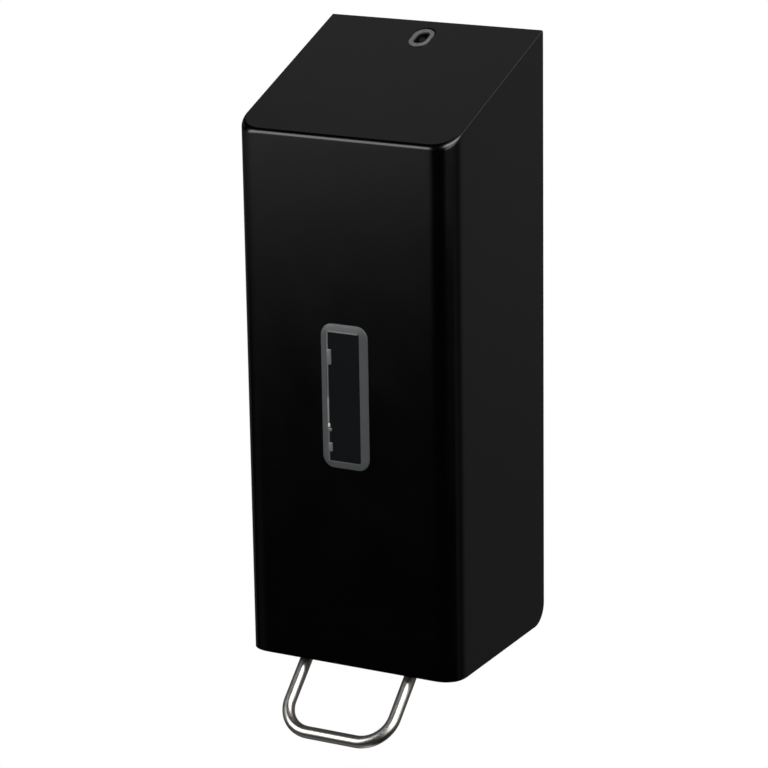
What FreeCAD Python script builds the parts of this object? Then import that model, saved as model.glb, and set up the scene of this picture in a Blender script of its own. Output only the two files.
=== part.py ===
import FreeCAD, Part
import math
import operator
import os
import Sketcher

# A wall soap dispenser worked by a bent wire lever. Lengths are in millimetres, angles in degrees.
# The origin is the middle of the four wall screws, on the wall. Z is up, the wall is the plane Y = 0
# and the front faces -Y. Heights in the sheet are measured from the lower edge of the cover.

SIZES = (
    ("cover_width", 112, "outside width of the steel cover"),
    ("cover_depth", 96, "wall to front face"),
    ("cover_rear_height", 292, "height of the cover at the wall"),
    ("cover_front_height", 255, "height of the front face up to the sloping top"),
    ("cover_sheet", 1.2, "thickness of the cover's steel"),
    ("cover_corner", 10.5, "outside radius of the upright front corners"),
    ("cover_bend", 2.2, "outside radius where the sloping top meets the walls"),
    ("cover_heel", 10, "radius of the lower rear corners of the side walls"),
    ("wall_gap", 0.5, "gap between the cover's rear edge and the wall"),
    ("fixing_height", 150, "middle of the wall screws above the cover's lower edge"),
    ("fixing_across", 60, "distance between the left and right wall screws"),
    ("fixing_apart", 200, "distance between the upper and lower wall screws"),
    ("fixing_hole", 6, "diameter of the wall screw holes"),
    ("plate_sheet", 1.5, "thickness of the back plate"),
    ("plate_bottom", 12, "lower edge of the back plate"),
    ("plate_top", 269.5, "upper edge of the back plate"),
    ("plate_flange", 20, "depth of the back plate's side flanges"),
    ("plate_bend", 2.5, "outside radius of the back plate's bends"),
    ("flange_corner", 10, "radius of the side flanges' corners"),
    ("side_play", 1.3, "gap between the hook plates and the back plate"),
    ("hook_sheet", 1.5, "thickness of the cover's hook plates"),
    ("hook_length", 20, "length of a hook plate from front to back"),
    ("hook_width", 20, "height of a hook plate"),
    ("hook_setback", 2, "gap between a hook plate and the wall"),
    ("hook_corner", 4, "radius of a hook plate's front corners"),
    ("stud_shank", 5, "diameter of the studs that the hooks slide over"),
    ("stud_depth", 10, "distance of the studs from the wall"),
    ("stud_height", 24, "height of the studs"),
    ("slide_play", 0.2, "clearance round a sliding fit"),
    ("stack_gap", 0.3, "gap left between pieces that pass each other"),
    ("leaf_sheet", 0.8, "thickness of the latch spring"),
    ("leaf_width", 20, "width of the latch spring"),
    ("leaf_root", 22, "height of the latch spring's riveted leg"),
    ("leaf_reach", 27, "wall to the rear face of the latch nose"),
    ("leaf_nose", 7, "height of the latch nose"),
    ("leaf_bend", 0.8, "inside radius of the latch spring's bend"),
    ("rivet_shank", 4, "diameter of the rivets"),
    ("rivet_head", 7.2, "diameter of a rivet's head"),
    ("rivet_rise", 1.6, "height of a rivet's head"),
    ("rivet_spacing", 10, "distance between the two rivets"),
    ("catch_sheet", 1.5, "thickness of the cover's catch"),
    ("catch_width", 24, "width of the cover's catch"),
    ("catch_overlap", 5.5, "how far the catch reaches below the latch nose"),
    ("catch_foot", 11, "length of the catch's welded foot"),
    ("shelf_height", 78, "top of the shelf that carries the bottle"),
    ("shelf_sheet", 2, "thickness of the shelf bracket"),
    ("shelf_inset", 4, "gap between the shelf and the back plate's side flanges"),
    ("shelf_setback", 8.8, "gap between the shelf and the cover's front"),
    ("shelf_lip", 9, "height of the shelf's side and front lips above its top"),
    ("shelf_flange", 22, "height of the shelf's rear flange"),
    ("shelf_corner", 3, "radius of the shelf bracket's loose corners"),
    ("screw_shank", 4, "diameter of the bracket screws"),
    ("screw_head", 7.6, "diameter of a bracket screw's head"),
    ("screw_rise", 2.4, "height of a bracket screw's head"),
    ("screw_spacing", 26, "distance between neighbouring bracket screws"),
    ("bottle_play", 0.8, "gap between the bottle and the shelf's lips"),
    ("bottle_rear_gap", 3.5, "gap between the bottle and the back plate"),
    ("bottle_headroom", 10, "top of the bottle below the cover's front height"),
    ("bottle_wall", 1.6, "wall of the bottle"),
    ("bottle_corner", 12, "radius of the bottle's upright corners"),
    ("bottle_shoulder", 5, "radius round the bottle's top"),
    ("bottle_foot", 2.5, "radius round the bottle's bottom"),
    ("filler_bore", 52, "diameter of the filling hole"),
    ("filler_neck", 6, "height of the filling neck"),
    ("lid_sheet", 2, "thickness of the lid"),
    ("lid_rim", 6, "width of the lid's raised rim"),
    ("outlet_neck", 34, "diameter of the bottle's outlet neck"),
    ("outlet_drop", 12.5, "length of the outlet neck below the shelf"),
    ("outlet_wall", 2.4, "wall of the outlet neck"),
    ("gasket_sheet", 1.5, "thickness of the outlet gasket"),
    ("nut_diameter", 48, "diameter of the union nut"),
    ("nut_length", 18, "height of the union nut"),
    ("nut_grips", 12, "number of grip flutes round the union nut"),
    ("nut_flute", 2.5, "radius of a grip flute"),
    ("pump_bore", 18, "bore of the pump cylinder"),
    ("pump_wall", 3, "wall of the pump cylinder"),
    ("pump_length", 24, "length of the pump cylinder with its flange"),
    ("pump_roof", 4, "thickness of the pump cylinder's upper end"),
    ("pump_inlet", 8, "diameter of the pump's inlet"),
    ("inlet_stalk", 2.6, "diameter of the inlet valve's stalk"),
    ("guide_height", 3, "height of the guide ring in the pump's mouth"),
    ("piston_height", 5, "height of the pump piston"),
    ("seal_height", 2, "height of the piston seal"),
    ("seal_depth", 1.6, "depth of the groove that holds the piston seal"),
    ("seal_lip", 0.5, "chamfer of the piston seal's edges"),
    ("seal_play", 0.05, "radial clearance of the piston in its bore"),
    ("stem_diameter", 10, "outside diameter of the pump stem"),
    ("stem_bore", 5, "bore of the pump stem"),
    ("collar_diameter", 30, "diameter of the lifting collar"),
    ("collar_height", 3, "thickness of the lifting collar"),
    ("nozzle_length", 21, "how far the nozzle reaches below the lifting collar"),
    ("nozzle_wall", 2, "wall of the nozzle"),
    ("nozzle_floor", 3, "thickness of the nozzle's floor, which carries the stem"),
    ("nozzle_mouth", 4, "diameter of the nozzle's mouth"),
    ("valve_skirt", 2, "height of the outlet valve's cone, and of its ring"),
    ("valve_wall", 0.5, "wall of the outlet valve"),
    ("bellows_gap", 0.5, "gap between the stem and the bellows"),
    ("bellows_wall", 1.2, "wall of the bellows"),
    ("bellows_fold", 3.2, "depth of the bellows' folds"),
    ("bellows_folds", 4, "number of the bellows' folds"),
    ("lever_wire", 6, "wire of the lever"),
    ("lever_width", 56, "distance between the middles of the lever's legs"),
    ("lever_length", 68.25, "pivot to the middle of the lever's cross bar"),
    ("lever_slope", 42.9, "slope of the lever at rest"),
    ("lever_corner", 15, "bend radius at the cross bar"),
    ("lever_turn", 9, "bend radius where the legs turn out to the pivots"),
    ("lever_tip", 2.1, "how far the lever's ends stand out of the push nuts"),
    ("pivot_height", 17.8, "height of the lever's pivot"),
    ("bush_gap", 1.5, "gap between the lever's upper bend and a pivot bush"),
    ("bush_flange", 1.5, "thickness of a pivot bush's flange"),
    ("bush_wall", 1.5, "wall of a pivot bush"),
    ("pivot_play", 0.05, "radial clearance of the lever in its bushes"),
    ("push_nut", 13, "diameter of the push nuts on the lever's ends"),
    ("push_nut_sheet", 1.2, "thickness of a push nut"),
    ("yoke_arm", 22, "pivot to the tips that lift the pump"),
    ("yoke_dip", 13, "angle of those tips below the pivot at rest"),
    ("yoke_tip", 3, "radius of the lifting tips"),
    ("yoke_gap", 0.5, "gap between the lever's upper bend and the yoke"),
    ("yoke_far", 22, "pivot to the lower edge of the yoke's web"),
    ("yoke_web", 4, "thickness of the yoke's web"),
    ("yoke_fork", 18, "gap between the two lifting arms"),
    ("yoke_finger", 4, "width of a lifting arm"),
    ("yoke_clip", 9, "height of the clips that hold the lever's legs"),
    ("yoke_cheek", 2.2, "wall of those clips"),
    ("cheek_reach", 14, "half the depth of a pivot cheek under the shelf"),
    ("cheek_eye", 11, "radius round the pivot at the cheek's lower end"),
    ("window_width", 25.3, "width of the window frame"),
    ("window_height", 69.5, "height of the window frame"),
    ("window_middle", 132.7, "height of the middle of the window"),
    ("window_corner", 6, "corner radius of the window frame"),
    ("window_raise", 1.2, "how far the window frame stands off the cover"),
    ("window_round", 0.9, "radius of the window frame's outer edge"),
    ("window_border", 4.2, "width of the window frame's border"),
    ("window_ledge", 0.8, "ledge behind the lens"),
    ("window_collar", 2.2, "width of the frame behind the ledge's edge, inside the cover's cut-out"),
    ("window_depth", 2, "how far the frame reaches behind the cover's steel"),
    ("clip_spacing", 41, "distance between the upper and lower clips"),
    ("clip_length", 8.5, "length of a clip"),
    ("clip_depth", 5.5, "how far a clip reaches behind the cover's steel"),
    ("clip_sheet", 1.5, "thickness of a clip"),
    ("clip_barb", 1.3, "how far a clip's barb stands out"),
    ("lens_sheet", 1.2, "thickness of the lens"),
    ("lens_recess", 0.8, "depth of the lens below the window frame's face"),
    ("lock_down", 15.2, "middle of the lock, down the slope from the cover's top edge"),
    ("lock_width", 11.2, "width of the lock's oval plate"),
    ("lock_length", 15, "length of the lock's oval plate"),
    ("lock_raise", 0.8, "how far the oval plate stands off the slope"),
    ("lock_round", 0.4, "radius of the oval plate's edge"),
    ("key_width", 5.6, "width of the keyhole"),
    ("key_length", 9.6, "length of the keyhole"),
    ("barrel_wall", 1.8, "wall of the lock's barrel"),
    ("barrel_depth", 8, "length of the lock's barrel below the slope"),
    ("button_depth", 3, "depth of the lock's button below the slope"),
    ("button_pin", 3.4, "diameter of the pin on the lock's button"),
    ("button_head", 2, "thickness of the button's inner head"),
    ("retainer_sheet", 1.6, "thickness of the ring that holds the lock"),
    ("retainer_rim", 4, "width of that ring"),
)

V = FreeCAD.Vector
X_AXIS = V(1, 0, 0)
Y_AXIS = V(0, 1, 0)
OPERATIONS = {"+": operator.add, "-": operator.sub, "*": operator.mul, "/": operator.truediv}


class Size:
    """A size as a number now, and as the text that ties it to the sheet."""

    def __init__(self, value, text):
        self.value = value
        self.text = text

    def __neg__(self):
        return Size(-self.value, f"(-1 * {self.text})")

    def __add__(self, other):
        return combined(self, "+", other)

    def __radd__(self, other):
        return combined(other, "+", self)

    def __sub__(self, other):
        return combined(self, "-", other)

    def __rsub__(self, other):
        return combined(other, "-", self)

    def __mul__(self, other):
        return combined(self, "*", other)

    def __rmul__(self, other):
        return combined(other, "*", self)

    def __truediv__(self, other):
        return combined(self, "/", other)


def as_size(number):
    return number if isinstance(number, Size) else Size(float(number), f"({float(number)})")


def combined(left, sign, right):
    left = as_size(left)
    right = as_size(right)
    return Size(OPERATIONS[sign](left.value, right.value), f"({left.text} {sign} {right.text})")


def sine(angle):
    return Size(math.sin(math.radians(angle.value)), f"sin({angle.text})")


def cosine(angle):
    return Size(math.cos(math.radians(angle.value)), f"cos({angle.text})")


def root(number):
    return Size(math.sqrt(number.value), f"sqrt({number.text})")


document = FreeCAD.newDocument("soap_dispenser")
sheet = document.addObject("Spreadsheet::Sheet", "sizes")


class Sheet:
    """The driving sizes, read by name."""

    def __init__(self, rows):
        for row, (name, number, note) in enumerate(rows, 1):
            sheet.set(f"A{row}", note)
            sheet.set(f"B{row}", str(number))
            sheet.setAlias(f"B{row}", name)
            setattr(self, name, Size(float(number), f"sizes.{name}"))


s = Sheet(SIZES)
document.recompute()


# Tools that build the document


def bind(item, name, size):
    """Tie a property of a document object to the sheet."""
    item.setExpression(name, as_size(size).text)


def new_body(name, x=0, y=0, z=0, turn=0, axis=X_AXIS):
    """A body with its own origin at x, y and the height z, turned about an axis through it."""
    body = document.addObject("PartDesign::Body", name)
    body.Label = name
    body.AllowCompound = True
    lowered = as_size(z) - s.fixing_height
    turn = as_size(turn)
    body.Placement = FreeCAD.Placement(V(0, 0, 0), FreeCAD.Rotation(axis, max(turn.value, 1)))
    bind(body, "Placement.Base.x", x)
    bind(body, "Placement.Base.y", y)
    bind(body, "Placement.Base.z", lowered)
    bind(body, "Placement.Rotation.Angle", turn)
    return body


def new_sketch(body, plane, offset=0):
    """A sketch on one of the body's own planes, moved along its normal."""
    sketch = body.newObject("Sketcher::SketchObject", body.Name + "_sketch")
    support = next(item for item in body.Origin.OriginFeatures if item.Role == plane)
    sketch.AttachmentSupport = [(support, "")]
    sketch.MapMode = "FlatFace"
    bind(sketch, "AttachmentOffset.Base.z", offset)
    return sketch


def fix(sketch, kind, *target, size):
    """Add a measured constraint and tie it to the sheet."""
    size = as_size(size)
    index = sketch.addConstraint(Sketcher.Constraint(kind, *target, size.value))
    bind(sketch, f"Constraints[{index}]", size)


def fix_point(sketch, edge, end, x, y):
    """Hold one end or centre of an edge at x, y from the sketch's origin."""
    fix(sketch, "DistanceX", -1, 1, edge, end, size=x)
    fix(sketch, "DistanceY", -1, 1, edge, end, size=y)


def outline(sketch, points):
    """A closed outline of straight lines."""
    points = [(as_size(x), as_size(y)) for x, y in points]
    first = sketch.GeometryCount
    count = len(points)
    for index in range(count):
        x, y = points[index]
        next_x, next_y = points[(index + 1) % count]
        line = Part.LineSegment(V(x.value, y.value, 0), V(next_x.value, next_y.value, 0))
        sketch.addGeometry(line, False)
    for index in range(count):
        following = first + (index + 1) % count
        sketch.addConstraint(Sketcher.Constraint("Coincident", first + index, 2, following, 1))
    for index, (x, y) in enumerate(points):
        fix_point(sketch, first + index, 1, x, y)


def rectangle(sketch, x_low, y_low, x_high, y_high):
    outline(sketch, [(x_low, y_low), (x_high, y_low), (x_high, y_high), (x_low, y_high)])


def circle(sketch, x, y, radius):
    x, y, radius = as_size(x), as_size(y), as_size(radius)
    edge = sketch.addGeometry(Part.Circle(V(x.value, y.value, 0), V(0, 0, 1), radius.value), False)
    fix_point(sketch, edge, 3, x, y)
    fix(sketch, "Radius", edge, size=radius)


def joined_smoothly(sketch, first, count):
    """Each edge runs into the next one without a corner."""
    for index in range(count):
        following = first + (index + 1) % count
        sketch.addConstraint(Sketcher.Constraint("Tangent", first + index, 2, following, 1))


def stadium(sketch, start, end, radius):
    """A slot shape: two equal half circles about start and end, and the lines that join them."""
    start = [as_size(number) for number in start]
    end = [as_size(number) for number in end]
    radius = as_size(radius)
    a = V(start[0].value, start[1].value, 0)
    b = V(end[0].value, end[1].value, 0)
    along = (b - a).normalize()
    side = V(-along.y, along.x, 0) * radius.value
    outward = along * radius.value
    first = sketch.GeometryCount
    sketch.addGeometry(Part.LineSegment(a - side, b - side), False)
    sketch.addGeometry(Part.Arc(b - side, b + outward, b + side), False)
    sketch.addGeometry(Part.LineSegment(b + side, a + side), False)
    sketch.addGeometry(Part.Arc(a + side, a - outward, a - side), False)
    joined_smoothly(sketch, first, 4)
    fix_point(sketch, first + 1, 3, *end)
    fix_point(sketch, first + 3, 3, *start)
    fix(sketch, "Radius", first + 1, size=radius)


def rounded_rectangle(sketch, x, y, width, height, radius):
    """A rectangle about x, y with round corners."""
    x, y, width, height, radius = (as_size(number) for number in (x, y, width, height, radius))
    left = (x - width / 2).value
    right = (x + width / 2).value
    low = (y - height / 2).value
    high = (y + height / 2).value
    r = radius.value
    bow = r * (1 - math.sqrt(0.5))
    first = sketch.GeometryCount
    runs = (
        (V(left + r, low, 0), V(right - r, low, 0), V(right - bow, low + bow, 0), V(right, low + r, 0)),
        (V(right, low + r, 0), V(right, high - r, 0), V(right - bow, high - bow, 0), V(right - r, high, 0)),
        (V(right - r, high, 0), V(left + r, high, 0), V(left + bow, high - bow, 0), V(left, high - r, 0)),
        (V(left, high - r, 0), V(left, low + r, 0), V(left + bow, low + bow, 0), V(left + r, low, 0)),
    )
    for start, end, middle, finish in runs:
        sketch.addGeometry(Part.LineSegment(start, end), False)
        sketch.addGeometry(Part.Arc(end, middle, finish), False)
    joined_smoothly(sketch, first, 8)
    for side, direction in enumerate(("Horizontal", "Vertical", "Horizontal", "Vertical")):
        sketch.addConstraint(Sketcher.Constraint(direction, first + 2 * side))
        fix(sketch, "Radius", first + 2 * side + 1, size=radius)
    fix(sketch, "DistanceY", -1, 1, first, 1, size=y - height / 2)
    fix(sketch, "DistanceX", -1, 1, first + 2, 1, size=x + width / 2)
    fix(sketch, "DistanceY", -1, 1, first + 4, 1, size=y + height / 2)
    fix(sketch, "DistanceX", -1, 1, first + 6, 1, size=x - width / 2)


def pad(body, sketch, length, symmetric=False, backward=False):
    """Raise a sketch into a solid, along its normal unless it goes backward."""
    feature = body.newObject("PartDesign::Pad", body.Name + "_pad")
    feature.Profile = sketch
    feature.SideType = "Symmetric" if symmetric else "One side"
    feature.Reversed = backward
    bind(feature, "Length", length)
    document.recompute()
    return feature


def cut(body, sketch, length, symmetric=False, backward=False):
    """Cut a sketch into the solid, against its normal unless it goes backward."""
    before = body.Shape.Volume
    feature = body.newObject("PartDesign::Pocket", body.Name + "_cut")
    feature.Profile = sketch
    feature.SideType = "Symmetric" if symmetric else "One side"
    feature.Reversed = backward
    bind(feature, "Length", length)
    document.recompute()
    if not body.Shape.Volume < before:
        raise ValueError(f"a cut in {body.Label} takes nothing away")
    return feature


def turned(body, points):
    """A ring or shaft: an outline of radii and heights, turned about the body's Z axis."""
    sketch = new_sketch(body, "XZ_Plane")
    outline(sketch, points)
    feature = body.newObject("PartDesign::Revolution", body.Name + "_turn")
    feature.Profile = sketch
    feature.ReferenceAxis = (sketch, ["V_Axis"])
    feature.Angle = 360
    document.recompute()
    return feature


def edges_where(body, test):
    names = [f"Edge{index}" for index, edge in enumerate(body.Tip.Shape.Edges, 1) if test(edge)]
    if not names:
        raise ValueError(f"no such edge in {body.Label}")
    return names


def fillet(body, radius, test):
    """Round the edges that pass the test."""
    base = body.Tip
    names = edges_where(body, test)
    feature = body.newObject("PartDesign::Fillet", body.Name + "_fillet")
    feature.Base = (base, names)
    bind(feature, "Radius", radius)
    document.recompute()
    return feature


def mirrored(body, features, plane="YZ_Plane"):
    """Repeat features on the other side of one of the body's planes."""
    feature = body.newObject("PartDesign::Mirrored", body.Name + "_mirror")
    feature.Originals = features
    support = next(item for item in body.Origin.OriginFeatures if item.Role == plane)
    feature.MirrorPlane = (support, [""])
    body.Tip = feature
    document.recompute()
    return feature


def near(value, size, slack=0.01):
    return abs(value - as_size(size).value) < slack


def runs_along(edge, direction):
    """The edge is a straight line along a direction."""
    if not isinstance(edge.Curve, Part.Line):
        return False
    return abs(abs(edge.Curve.Direction.dot(direction)) - 1) < 1e-6


def upright(edge):
    return runs_along(edge, V(0, 0, 1))


# Heights, depths and half widths that several pieces share

half_cover = s.cover_width / 2
half_inside = half_cover - s.cover_sheet
front_inside = s.cover_depth - s.cover_sheet
top_rise = (s.cover_rear_height - s.cover_front_height) / (s.cover_depth - s.wall_gap)
top_slope = Size(math.degrees(math.atan(top_rise.value)), f"atan({top_rise.text})")
half_plate = half_inside - s.hook_sheet - s.side_play
half_shelf = half_plate - s.shelf_inset
shelf_front = front_inside - s.shelf_setback
shelf_under = s.shelf_height - s.shelf_sheet
bottle_rear = s.plate_sheet + s.bottle_rear_gap
bottle_front = shelf_front - s.shelf_sheet - s.bottle_play
half_bottle = half_shelf - s.shelf_sheet - s.bottle_play
bottle_top = s.cover_front_height - s.bottle_headroom
pump_axis = (bottle_rear + bottle_front) / 2
pivot_depth = pump_axis + s.yoke_arm * cosine(s.yoke_dip)
yoke_near = s.lever_turn + s.yoke_gap
collar_under = s.pivot_height - s.yoke_arm * sine(s.yoke_dip) + s.yoke_tip + s.slide_play
collar_top = collar_under + s.collar_height
neck_end = shelf_under - s.outlet_drop
flange_top = neck_end - s.gasket_sheet
pump_end = flange_top - s.pump_length
pump_outer = s.pump_bore / 2 + s.pump_wall
nozzle_end = collar_under - s.nozzle_length
stem_radius = s.stem_diameter / 2
cheek_inner = s.lever_width / 2 + s.lever_turn + s.bush_gap + s.bush_flange
cheek_outer = cheek_inner + s.shelf_sheet
bush_inner = s.lever_wire / 2 + s.pivot_play
bush_outer = bush_inner + s.bush_wall
push_nut_seat = cheek_outer + s.stack_gap * 2
wire_end = push_nut_seat + s.push_nut_sheet + s.lever_tip
flange_front = s.plate_sheet + s.shelf_sheet
screw_height = s.shelf_height - s.shelf_flange / 2
leaf_top = s.plate_top - s.leaf_sheet
rivet_height = leaf_top - s.leaf_root / 2
catch_low = leaf_top + s.leaf_nose - s.catch_overlap
window_inner_width = s.window_width - (s.window_border + s.window_ledge) * 2
window_inner_height = s.window_height - (s.window_border + s.window_ledge) * 2
root_half = root(as_size(0.5))


def under_slope(depth):
    """Height of the underside of the sloping top at a distance from the wall."""
    skin = s.cover_sheet / cosine(top_slope)
    return s.cover_rear_height - skin - (depth - s.wall_gap) * top_rise


# The cover: one steel sheet bent round the front, with a sloping top welded on


def cover_shell():
    body = new_body("cover_shell")
    side = new_sketch(body, "YZ_Plane")
    outline(side, [
        (-s.wall_gap, 0),
        (-s.wall_gap, s.cover_rear_height),
        (-s.cover_depth, s.cover_front_height),
        (-s.cover_depth, 0),
    ])
    pad(body, side, s.cover_width, symmetric=True)
    fillet(body, s.cover_corner, lambda e: upright(e) and near(e.CenterOfMass.y, -s.cover_depth))

    def round_the_top(edge):
        above = edge.BoundBox.ZMin > s.cover_front_height.value - 1
        return above and not near(edge.CenterOfMass.y, -s.wall_gap)

    fillet(body, s.cover_bend, round_the_top)
    open_faces = [f"Face{index}" for index, face in enumerate(body.Tip.Shape.Faces, 1)
                  if near(face.BoundBox.ZMax, 0) or near(face.BoundBox.YMin, -s.wall_gap)]
    block = body.Tip
    shell = body.newObject("PartDesign::Thickness", "cover_shell_sheet")
    shell.Base = (block, open_faces)
    shell.Reversed = True
    shell.Join = "Intersection"
    bind(shell, "Value", s.cover_sheet)
    document.recompute()
    fillet(body, s.cover_heel, lambda e: runs_along(e, X_AXIS)
           and near(e.CenterOfMass.y, -s.wall_gap) and near(e.CenterOfMass.z, 0))
    window = new_sketch(body, "XZ_Plane", s.cover_depth)
    gap = s.slide_play * 2
    rounded_rectangle(window, 0, s.window_middle, window_inner_width + s.window_collar * 2 + gap,
                      window_inner_height + s.window_collar * 2 + gap, s.window_corner - s.window_collar)
    cut(body, window, s.cover_sheet * 2, symmetric=True)
    return body


def lock_origin():
    """The lock's own origin: a point on the slope and the slope's turn."""
    along = s.lock_down * cosine(top_slope)
    down = s.lock_down * sine(top_slope)
    return 0, -(s.wall_gap + along), s.cover_rear_height - down, top_slope


def oval(sketch, width, length):
    half = (length - width) / 2
    stadium(sketch, (0, -half), (0, half), width / 2)


def cut_lock_hole(body):
    """A hole through the slope for the lock's barrel, cut square to the slope."""
    hole = body.newObject("Sketcher::SketchObject", "lock_hole")
    x, y, z, turn = lock_origin()
    support = next(item for item in body.Origin.OriginFeatures if item.Role == "XY_Plane")
    hole.AttachmentSupport = [(support, "")]
    hole.MapMode = "FlatFace"
    hole.AttachmentOffset = FreeCAD.Placement(V(0, 0, 0), FreeCAD.Rotation(X_AXIS, turn.value))
    bind(hole, "AttachmentOffset.Base.y", y)
    bind(hole, "AttachmentOffset.Base.z", z)
    bind(hole, "AttachmentOffset.Rotation.Angle", turn)
    gap = s.barrel_wall * 2 + s.slide_play * 2
    oval(hole, s.key_width + gap, s.key_length + gap)
    cut(body, hole, s.cover_sheet * 3, symmetric=True)


def cover_catch():
    """An angle welded under the slope; its lip hangs behind the latch nose."""
    body = new_body("cover_catch")
    front = s.leaf_reach - s.stack_gap
    rear = front - s.catch_sheet
    foot = front + s.catch_foot
    skin = s.catch_sheet / cosine(top_slope)
    side = new_sketch(body, "YZ_Plane")
    outline(side, [
        (-rear, catch_low),
        (-rear, under_slope(rear)),
        (-foot, under_slope(foot)),
        (-foot, under_slope(foot) - skin),
        (-front, under_slope(front) - skin),
        (-front, catch_low),
    ])
    pad(body, side, s.catch_width, symmetric=True)


def cover_hook(name, side):
    """A plate welded inside a side wall, with a slot that is open towards the wall."""
    body = new_body(name)
    centre = half_inside - s.hook_sheet / 2
    plate = new_sketch(body, "YZ_Plane", centre * side)
    rear = s.hook_setback
    low = s.stud_height - s.hook_width / 2
    rectangle(plate, -(rear + s.hook_length), low, -rear, low + s.hook_width)
    pad(body, plate, s.hook_sheet, symmetric=True)
    fillet(body, s.hook_corner,
           lambda e: runs_along(e, X_AXIS) and near(e.CenterOfMass.y, -(rear + s.hook_length)))
    slot = new_sketch(body, "YZ_Plane", centre * side)
    radius = s.stud_shank / 2 + s.slide_play
    stadium(slot, (-s.stud_depth, s.stud_height), (s.stud_depth, s.stud_height), radius)
    cut(body, slot, s.hook_sheet * 2, symmetric=True)


# The window: a plastic frame clipped through the front, and its lens


def window_bezel():
    body = new_body("window_bezel", y=-s.cover_depth, z=s.window_middle)
    frame = new_sketch(body, "XZ_Plane")
    rounded_rectangle(frame, 0, 0, s.window_width, s.window_height, s.window_corner)
    pad(body, frame, s.window_raise)
    collar = new_sketch(body, "XZ_Plane")
    rounded_rectangle(collar, 0, 0, window_inner_width + s.window_collar * 2,
                      window_inner_height + s.window_collar * 2, s.window_corner - s.window_collar)
    pad(body, collar, s.cover_sheet + s.window_depth, backward=True)
    fillet(body, s.window_round, lambda e: near(e.BoundBox.YMax, -s.window_raise))
    seat = new_sketch(body, "XZ_Plane", s.window_raise)
    rounded_rectangle(seat, 0, 0, s.window_width - s.window_border * 2,
                      s.window_height - s.window_border * 2, s.window_corner - s.window_border)
    cut(body, seat, s.lens_recess + s.lens_sheet)
    through = new_sketch(body, "XZ_Plane", s.window_raise)
    rounded_rectangle(through, 0, 0, window_inner_width, window_inner_height,
                      s.window_corner - s.window_border)
    cut(body, through, s.window_raise + s.cover_sheet + s.window_depth * 2)
    outer = window_inner_width / 2 + s.window_collar
    back = s.cover_sheet + s.window_depth
    tip = s.cover_sheet + s.clip_depth
    barb = s.cover_sheet + s.stack_gap
    clips = []
    for height in (-s.clip_spacing / 2, s.clip_spacing / 2):
        clip = new_sketch(body, "XY_Plane", height)
        outline(clip, [
            (outer - s.clip_sheet, back),
            (outer - s.clip_sheet, tip),
            (outer, tip),
            (outer + s.clip_barb, barb + s.clip_barb),
            (outer + s.clip_barb, barb),
            (outer, barb),
        ])
        clips.append(pad(body, clip, s.clip_length, symmetric=True))
    mirrored(body, clips)


def window_lens():
    body = new_body("window_lens", y=-s.cover_depth, z=s.window_middle)
    lens = new_sketch(body, "XZ_Plane", s.window_raise - s.lens_recess - s.lens_sheet)
    gap = s.seal_play * 2
    rounded_rectangle(lens, 0, 0, s.window_width - s.window_border * 2 - gap,
                      s.window_height - s.window_border * 2 - gap, s.window_corner - s.window_border)
    pad(body, lens, s.lens_sheet)


# The lock in the slope: an oval plate with a barrel, the button inside it and the ring below


def lock_escutcheon():
    body = new_body("lock_escutcheon", *lock_origin())
    plate = new_sketch(body, "XY_Plane")
    oval(plate, s.lock_width, s.lock_length)
    pad(body, plate, s.lock_raise)
    fillet(body, s.lock_round, lambda e: near(e.BoundBox.ZMin, s.lock_raise))
    barrel = new_sketch(body, "XY_Plane")
    oval(barrel, s.key_width + s.barrel_wall * 2, s.key_length + s.barrel_wall * 2)
    pad(body, barrel, s.barrel_depth, backward=True)
    keyhole = new_sketch(body, "XY_Plane", s.lock_raise)
    oval(keyhole, s.key_width, s.key_length)
    cut(body, keyhole, s.lock_raise + s.barrel_depth * 2)


def lock_plunger():
    body = new_body("lock_plunger", *lock_origin())
    reach = button_end() - s.button_head
    pin = new_sketch(body, "XY_Plane", -s.button_depth)
    circle(pin, 0, 0, s.button_pin / 2)
    pad(body, pin, s.button_depth - s.stack_gap * 2)
    shaft = new_sketch(body, "XY_Plane", -s.button_depth)
    oval(shaft, s.key_width - s.slide_play, s.key_length - s.slide_play)
    pad(body, shaft, reach - s.button_depth, backward=True)
    head = new_sketch(body, "XY_Plane", -reach)
    oval(head, s.key_width + s.barrel_wall, s.key_length + s.barrel_wall)
    pad(body, head, s.button_head, backward=True)


def button_end():
    """How far the button reaches below the slope, to rest just over the latch spring."""
    x, y, z, turn = lock_origin()
    half_head = (s.key_length + s.barrel_wall) / 2
    drop = z - leaf_top - s.leaf_sheet - half_head * sine(turn)
    return (drop - s.stack_gap) / cosine(turn)


def lock_retainer():
    body = new_body("lock_retainer", *lock_origin())
    ring = new_sketch(body, "XY_Plane", -s.cover_sheet)
    rim = s.retainer_rim * 2
    gap = s.slide_play
    width = s.key_width + s.barrel_wall * 2
    length = s.key_length + s.barrel_wall * 2
    oval(ring, width + rim, length + rim)
    oval(ring, width + gap, length + gap)
    pad(body, ring, s.retainer_sheet, backward=True)


# The back plate, its studs and the latch


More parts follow.
